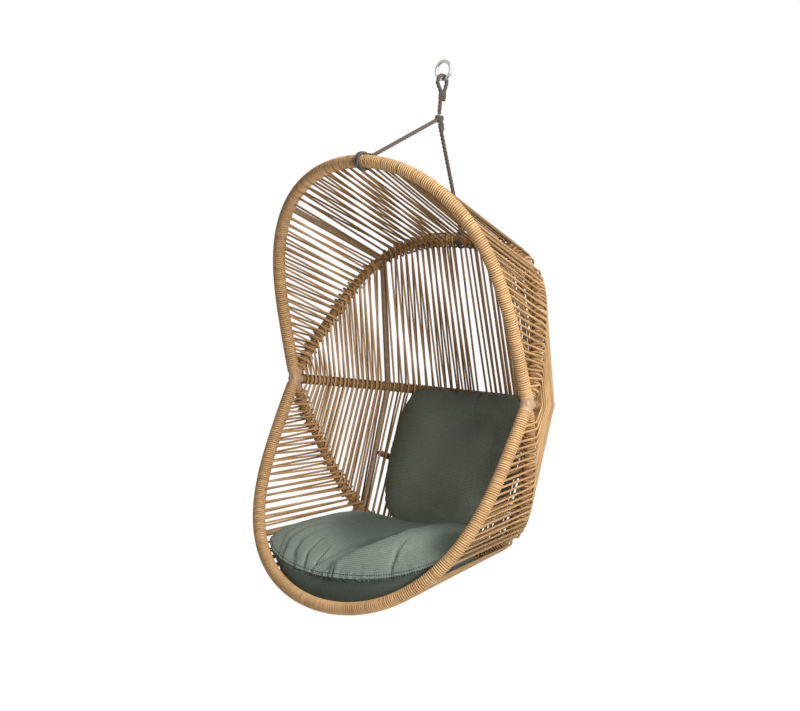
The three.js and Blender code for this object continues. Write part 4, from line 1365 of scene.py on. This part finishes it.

# %% [markdown]
# The real cushion has been sat on: its front corner at the sitter's right is drawn up into
# pleats and a long ridge bends round the hollow that a sitter leaves. Its cloth carries painted
# shade: a broad dark spot over the top's middle, a smaller one at its end by the rim, a fall to the
# sitter's left, and a low tone on the band. Sculpting could do it, but a list of folds and spots can
# be read and changed.
# Air swells the cover first, and then they go in.

# %% Seat cushion, swelled and sewn
SEAM_HELD = 4  # mm to each side of the seam that the air doesn't move
FOOT_HELD = 7  # mm over the underside, the same
SITTER_HOLLOW = dict(middle=(45, 15), size=(150, 95))  # mm
SITTER_HOLLOW_DEPTH = 22
# Painted shade on the top: a broad spot over its middle, a small one at its end to the sitter's left by the
# rim, and a fall towards the sitter's left. BAND_TONE is a low tone, painted shade on the band.
PAINTED_SHADE_SPOT = dict(middle=(30, -25), size=(205, 145), power=3)
PAINTED_SHADE_DEPTH = 0.76  # of the tone, lost in the middle of the painted shade spot
END_SHADE_SPOT = dict(middle=(300, -90), size=(70, 80), power=2)
END_SHADE_DEPTH = 0.6
LEFT_START, LEFT_RUN = 150, 100  # mm to the sitter's left, over which the top's tone falls
LEFT_SHADE = 0.22
DARKEST_TONE = 0.1
BAND_TONE = 0.34
UNDERSIDE_LEVEL = 4  # mm over the underside, up to which its cloth lies flat
CROWN_REACH_SHARE = 0.8  # of the half width, which stands for the crown's reach all round
PUCKER = 1.4  # mm
PUCKER_FADES = (20, 7)  # mm above and below the seam
GROOVE_DEPTH, GROOVE_WIDTH = 1.8, 2.6  # mm, of the seam's own groove
ALLOWANCE_RISE, ALLOWANCE_MIDDLE, ALLOWANCE_WIDTH = 1.2, 6, 3.2  # mm, of what is folded up over it
FREE_HALF_WIDTH = 220  # mm, across which nothing touches the cushion
FREE_FOOT = 25  # mm over the underside, up to which its side lies clear already
FREE_FOOT_REACH = 9  # mm outside the foot, where its lines start


def seat_places(points):
    """For points on the unswelled cushion: share of the way to the outline, distance from the seam
    (above it positive), distance round the outline, and height over the underside."""
    x, y, z = over_struts(points, back=True).T
    c = x / (SEAT_HALF_WIDTH * seat_taper(y))
    s = (y - SEAT_MIDDLE) / SEAT_HALF_DEPTH
    n = SEAT["squareness"]
    share = (np.abs(c) ** n + np.abs(s) ** n) ** (1 / n)
    under, seam = seat_levels(x, y)
    inside = np.maximum(1 - share, 0) * np.hypot(x, y - SEAT_MIDDLE) / np.maximum(share, 0.01)
    from_seam = np.where(z > seam, np.hypot(inside, z - seam), z - seam)
    outline = seat_seam()
    outline = np.concatenate([outline, outline[:1]])
    bearing = np.unwrap(np.arctan2(outline[:, 1] - SEAT_MIDDLE, outline[:, 0]))
    around = np.interp(np.arctan2(y - SEAT_MIDDLE, x) % (2 * math.pi), bearing, distances(outline))
    return share, from_seam, around, z - under


def seat_held(points):
    """The seam, and what lies on the strung seat."""
    _, from_seam, _, above = seat_places(points)
    return (np.abs(from_seam) < SEAM_HELD) | (above < FOOT_HELD)


SEAT_FOLDS = [  # places in mm across and behind the pod's middle, then behind, ahead, width, reach
    ([(-30, -212), (-16, -203), (15, -189), (39, -177), (88, -156), (134, -127), (160, -77), (166, -23),
      (166, 10)], 22, 24, 24, 80),
    ([(-81, -211), (-61, -199), (-32, -183), (23, -163), (73, -139), (118, -100),
      (140, -50)], 13, 10, 15, 32),
    ([(-86, -222), (-91, -206), (-78, -186)], 11, 5, 6, 16),
    ([(-2, -221), (-3, -204), (10, -184)], 12, 6, 6, 16),
    ([(186, -194), (179, -174), (181, -156)], 10, 5, 12, 26),
    ([(-248, -186), (-263, -152), (-248, -115), (-214, -84)], 4, 5, 20, 28),
    ([(-222, -196), (-232, -172), (-211, -138), (-172, -108)], 5, 6, 20, 30),
    ([(-160, -216), (-182, -196), (-180, -166), (-148, -136)], 5, 5, 18, 30),
    ([(-122, -220), (-134, -196), (-118, -164)], 6, 4, 10, 18),
    ([(266, -96), (262, -50), (240, -10)], 7, 5, 14, 24),
    ([(-120, -60), (-60, -80), (0, -70), (60, -30)], 6, 5, 26, 50),
]
sewn = swell(seat_cushion, seat_held)
share, from_seam, around, above = seat_places(sewn)
seam_length = distances(seat_seam())[-1]
on_top = from_seam > 0
from_above = sewn[:, :2]
press = sum(fold(from_above, *measures) for measures in SEAT_FOLDS)
press -= SITTER_HOLLOW_DEPTH * spot(from_above, **SITTER_HOLLOW)
press *= on_top
fade = np.exp(-np.abs(from_seam) / np.where(on_top, *PUCKER_FADES))
press += PUCKER * gathers(around, seam_length, count=46, seed=3) * fade * (above > FOOT_HELD + 1)
press -= GROOVE_DEPTH * np.exp(-((from_seam / GROOVE_WIDTH) ** 2))
press += ALLOWANCE_RISE * np.exp(-(((from_seam - ALLOWANCE_MIDDLE) / ALLOWANCE_WIDTH) ** 2))
push_out(seat_cushion, press)

pressed = corners_of(seat_cushion.data)
sideways = np.sign(pressed[:, :1]) * X_AXIS
inside = np.where(above[:, None] < FREE_FOOT, pressed + FREE_FOOT_REACH * sideways,
                  pressed * (0, 1, 1) + FREE_HALF_WIDTH * sideways)
walls = both_sides("seat_strut_tube", "seat_wing_strand")
dent(seat_cushion, walls, inside, sideways, np.stack([Y_AXIS, Z_AXIS]))

stretch = way_over(SEAT["crown"], CROWN_REACH_SHARE * SEAT_HALF_WIDTH, SEAT["powers"])(share)
# The tone is painted shade: the spots and the fall to the sitter's left, and BAND_TONE on the band.
tone = 1 - PAINTED_SHADE_DEPTH * spot(from_above, **PAINTED_SHADE_SPOT) - END_SHADE_DEPTH * spot(from_above, **END_SHADE_SPOT)
to_the_left = np.clip((sewn[:, 0] - LEFT_START) / LEFT_RUN, 0, 1)
tone = np.clip(tone - LEFT_SHADE * to_the_left, DARKEST_TONE, 1)
over = on_top | (above < UNDERSIDE_LEVEL)
cloth_place = (np.where(over, sewn[:, 0] * stretch, around),
               np.where(over, sewn[:, 1] * stretch, sewn[:, 2]))
measure_cloth(seat_cushion, cloth_place, (from_seam, around), np.where(over, tone, BAND_TONE))
finish_piece(seat_cushion, "seat_pad", seat_fabric, ["seat_cushion"])
print("seat cushion now reaches", corners_of(seat_cushion.data).max(0).round(), "mm")

# %% [markdown]
# The back cushion is a pillow with one seam round its edge. It leans on the strands behind it, as
# the frame's own cushion does, so its place comes from that one's box. Two sheets sewn together and
# blown up would do it too, but with domes as a start its front can be fuller than its rear.

# %% Back cushion's form
BACK = dict(half_width=236, half_height=210, centre_down=188, front=92, rear=24, squareness=8,
            narrowing_shares=(0.22, 0.12), powers=(2.4, 0.75))
BACK_LEAN = math.radians(15)
BACK_TILT = math.radians(1.5)  # it has slipped down a little at the sitter's right
BACK_INSET = 5  # mm, by which it is thinner before it swells
BACK_OUT = np.array([0, math.cos(BACK_LEAN), -math.sin(BACK_LEAN)])
upright = np.array([0, math.sin(BACK_LEAN), math.cos(BACK_LEAN)])
BACK_ACROSS = math.cos(BACK_TILT) * X_AXIS + math.sin(BACK_TILT) * upright
BACK_UP = math.cos(BACK_TILT) * upright - math.sin(BACK_TILT) * X_AXIS


def narrowed(up_share):
    """The pillow's width at a height, as a share of its greatest: it narrows towards its foot and
    less towards its top."""
    foot, head = BACK["narrowing_shares"]
    return 1 - np.where(up_share < 0, foot, head) * up_share**2


def back_grid(inset):
    """Rings from the front's middle over the edge to the rear's middle, about the seam's middle.
    Both faces are domes over a rounded square that narrows towards its top and its foot."""
    c, s = squircle(full_turn(TURN_COLUMNS)[None], BACK["squareness"])
    inner = np.sin(np.linspace(FIRST_SHARE, math.pi / 2, FACE_ROWS))
    shares = np.concatenate([inner, inner[-2::-1]])[:, None]
    depth = np.concatenate([-(BACK["front"] - 2 * inset) * dome(inner, BACK["powers"]),
                            (BACK["rear"] - inset) * dome(inner[-2::-1], BACK["powers"])])
    across = BACK["half_width"] * c * shares * narrowed(s * shares)
    up = BACK["half_height"] * s * shares
    return across[..., None] * BACK_ACROSS + up[..., None] * BACK_UP + depth[:, None, None] * BACK_OUT


node_front = (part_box("back_cushion")[0][1] - POD_MIDDLE[1]) / MM
BACK_CENTRE = np.array([0, node_front - back_grid(0)[..., 1].min(), -BACK["centre_down"]])
grid = back_grid(BACK_INSET) + BACK_CENTRE
back_cushion = put_mesh("back_cushion_cover", in_row(grid.reshape(-1, 3)), grid_faces(*grid.shape[:2]))
print("back cushion's middle at", BACK_CENTRE.round(1), "mm")

# %% [markdown]
# The pillow's top edge sags between its corners and a deep fold runs down from it. Its cloth
# carries painted shade and light: darker towards its top, and paler at its foot and at its upper
# corner to the sitter's left. It is swelled and pressed like the seat cushion, because nothing in
# its make is different, and what dents it are the strands, spines and wound bars behind.

# %% Back cushion, swelled and sewn
EDGE_RADIUS = 215  # mm, of a circle about as long as the pillow's edge
EDGE_SHARE = 0.9  # of the way to the outline, past which the seam's groove lies
EDGE_HELD = 3  # mm to each side of the seam's plane that the air doesn't move
REAR_HELD = 6  # mm behind that plane, from where it moves nothing
SAG = dict(middle=(-20, 195), size=(60, 34))  # mm
SAG_DEPTH = 7
LINES_START = 40  # mm before the seam's plane, where the lines to the dents start
EDGE_PUCKER = 1.3  # mm
EDGE_PUCKER_FADE = 0.07  # of the way to the outline
EDGE_GROOVE_DEPTH, EDGE_GROOVE_WIDTH = 2.2, 3  # mm, of the seam's own groove
NO_SEAM = 100.0  # mm from any stitching, because this seam is sewn from inside
# Painted shade at the top, and painted light at the foot and at the upper corner to the sitter's left.
HEAD_SHADE = 0.2  # of the tone, lost at the pillow's top
FOOT_LIGHT = 0.55  # won at its foot
CORNER_LIGHT = 0.6  # and at its upper corner to the sitter's left
REAR_TONE = 0.5


def back_places(points):
    """Across, up and depth from the seam's middle, and the share of the way to the outline."""
    off = points - BACK_CENTRE
    across, up, depth = off @ BACK_ACROSS, off @ BACK_UP, off @ BACK_OUT
    n = BACK["squareness"]
    high = up / BACK["half_height"]
    wide = np.abs(across / BACK["half_width"]) / narrowed(high)
    share = (wide**n + np.abs(high) ** n) ** (1 / n)
    return across, up, depth, share


def back_held(points):
    """The seam, and the rear, which lies on the strands."""
    _, _, depth, share = back_places(points)
    return ((np.abs(depth) < EDGE_HELD) & (share > EDGE_SHARE)) | (depth > REAR_HELD)


BACK_FOLDS = [  # places in mm across and above its middle, then behind, ahead, width, reach
    ([(52, 208), (64, 175), (78, 135)], 15, 4, 6, 20),
    ([(-60, 200), (-60, 180), (-56, 160)], 2, 1.5, 12, 24),
    ([(-226, 130), (-196, 112), (-160, 104)], 3, 2, 12, 24),
    ([(-232, -20), (-205, -28), (-170, -30)], 2.5, 2, 14, 26),
    ([(-226, -150), (-196, -136), (-160, -130)], 3, 2, 12, 24),
    ([(228, 60), (200, 44), (166, 40)], 2.5, 2, 12, 22),
]
sewn = swell(back_cushion, back_held)
across, up, depth, share = back_places(sewn)
high = up / BACK["half_height"]
wide = across / BACK["half_width"]
around = np.arctan2(high, wide) % (2 * math.pi) * EDGE_RADIUS
front_side = depth < 0
from_front = np.stack([across, up], -1)
press = sum(fold(from_front, *measures) for measures in BACK_FOLDS) * front_side
press -= SAG_DEPTH * spot(from_front, **SAG)
puckers = gathers(around, 2 * math.pi * EDGE_RADIUS, count=40, seed=11)
press += EDGE_PUCKER * puckers * np.exp(-((1 - share) / EDGE_PUCKER_FADE) ** 2)
press -= EDGE_GROOVE_DEPTH * np.exp(-((depth / EDGE_GROOVE_WIDTH) ** 2)) * (share > EDGE_SHARE)
push_out(back_cushion, press)

pressed = corners_of(back_cushion.data)
level = ((pressed - BACK_CENTRE) @ BACK_OUT)[:, None]
walls = both_sides("back_strand", "back_wing_strand", "lower_spine_tube", "upper_spine_tube")
walls += [bpy.data.objects[name] for name in ("middle_back_hoop_winding", "cross_bar_winding")]
dent(back_cushion, walls, pressed - (level + LINES_START) * BACK_OUT,
     np.broadcast_to(BACK_OUT, pressed.shape), np.stack([X_AXIS, upright]))

stretch = way_over(BACK["front"], EDGE_RADIUS, BACK["powers"])(share)
low = np.maximum(-high, 0)
upper_left = np.maximum(wide, 0) ** 2 * np.maximum(high, 0)
# The tone is painted shade and light: darker towards the top, paler at the foot and at the upper corner to
# the sitter's left.
tone = np.clip(MIDDLE_TONE - HEAD_SHADE * high + FOOT_LIGHT * low**2 + CORNER_LIGHT * upper_left, 0, 1)
away = np.full(len(sewn), NO_SEAM)
measure_cloth(back_cushion, (across * stretch, up * stretch), (away, around),
              np.where(front_side, tone, REAR_TONE))
finish_piece(back_cushion, "back_pad", back_fabric, ["back_cushion"])
print("back cushion reaches", corners_of(back_cushion.data).max(0).round(), "mm")

# %% [markdown]
# The photograph shows the chair against pure white. A backdrop could be lit until it clips, but
# that light would wash out the chair. So the floor is pale and takes the shadow, what the camera
# sees of it is mostly its own white, and the white around gives only a little light.

# %% Floor and world
FLOOR_DROP = 0.62  # m under the pod
FLOOR_HALF = 30.0  # m
world = bpy.data.worlds.new("studio")
bpy.context.scene.world = world
world.use_nodes = True
tree = world.node_tree
tree.nodes.clear()


def seen_directly(tree):
    """1 for rays from the camera, and for those that metal or glass send on, 0 for the rest."""
    path = add_node(tree, "LightPath")
    either = add_node(tree, "Math", {0: path.outputs["Is Camera Ray"], 1: path.outputs["Is Glossy Ray"]},
                      operation="MAXIMUM")
    return add_node(tree, "Math", {0: either.outputs[0], 1: path.outputs["Is Transmission Ray"]},
                    operation="MAXIMUM").outputs[0]


strength = add_node(tree, "MapRange", {"Value": seen_directly(tree), "To Min": 0.12, "To Max": 1.0})
backdrop = add_node(tree, "Background", {"Color": (1, 1, 1, 1), "Strength": strength.outputs[0]})
add_node(tree, "OutputWorld", {"Surface": backdrop.outputs[0]})

floor_finish, tree = new_finish("pale studio floor")
matt = add_node(tree, "BsdfDiffuse", {"Color": linear("#F2F2F2")})
white = add_node(tree, "Emission", {"Color": (1, 1, 1, 1), "Strength": 1.12})
amount = add_node(tree, "MapRange", {"Value": seen_directly(tree), "To Max": 0.88})
floor_mix = add_node(tree, "MixShader", {0: amount.outputs[0], 1: matt.outputs[0], 2: white.outputs[0]})
add_node(tree, "OutputMaterial", {"Surface": floor_mix.outputs[0]})
level = cad_box[0][2] - FLOOR_DROP
sides = [(-FLOOR_HALF, -FLOOR_HALF), (FLOOR_HALF, -FLOOR_HALF), (FLOOR_HALF, FLOOR_HALF),
         (-FLOOR_HALF, FLOOR_HALF)]
floor = put_mesh("floor", [(x, y, level) for x, y in sides], [np.arange(4)[None]])
floor.data.materials.append(floor_finish)
print("floor", round(level, 3), "m")

# %% [markdown]
# In the photograph the chair's outer side and knuckle are bright and its inside is dim, so two
# lamps stand to the viewer's right, one high and one low in front. Small lamps would give hard
# shadows among the strands, so each is a square of over a metre, like a studio's soft box.

# %% Lamps
LAMP_SIZE = 1.3  # m
aim = Vector(POD_MIDDLE)
view_right = towards_camera.cross(Vector((0, 0, 1))) * -1


def lamp(name, aside, forward, rise, power):
    """A square lamp aimed at the pod, some metres to the camera's right of it, towards the camera
    and up."""
    data = bpy.data.lights.new(name, "AREA")
    data.size = LAMP_SIZE
    data.energy = power
    light = bpy.data.objects.new(name, data)
    flat = Vector((towards_camera.x, towards_camera.y, 0)).normalized()
    light.location = aim + view_right * aside + flat * forward + Vector((0, 0, rise))
    light.rotation_euler = (aim - light.location).to_track_quat("-Z", "Y").to_euler()
    bpy.context.scene.collection.objects.link(light)


lamp("high", aside=1.2, forward=1.6, rise=2.4, power=85)
lamp("low", aside=1.6, forward=3.0, rise=0.4, power=78)
print(len(bpy.data.lights), "lamps")
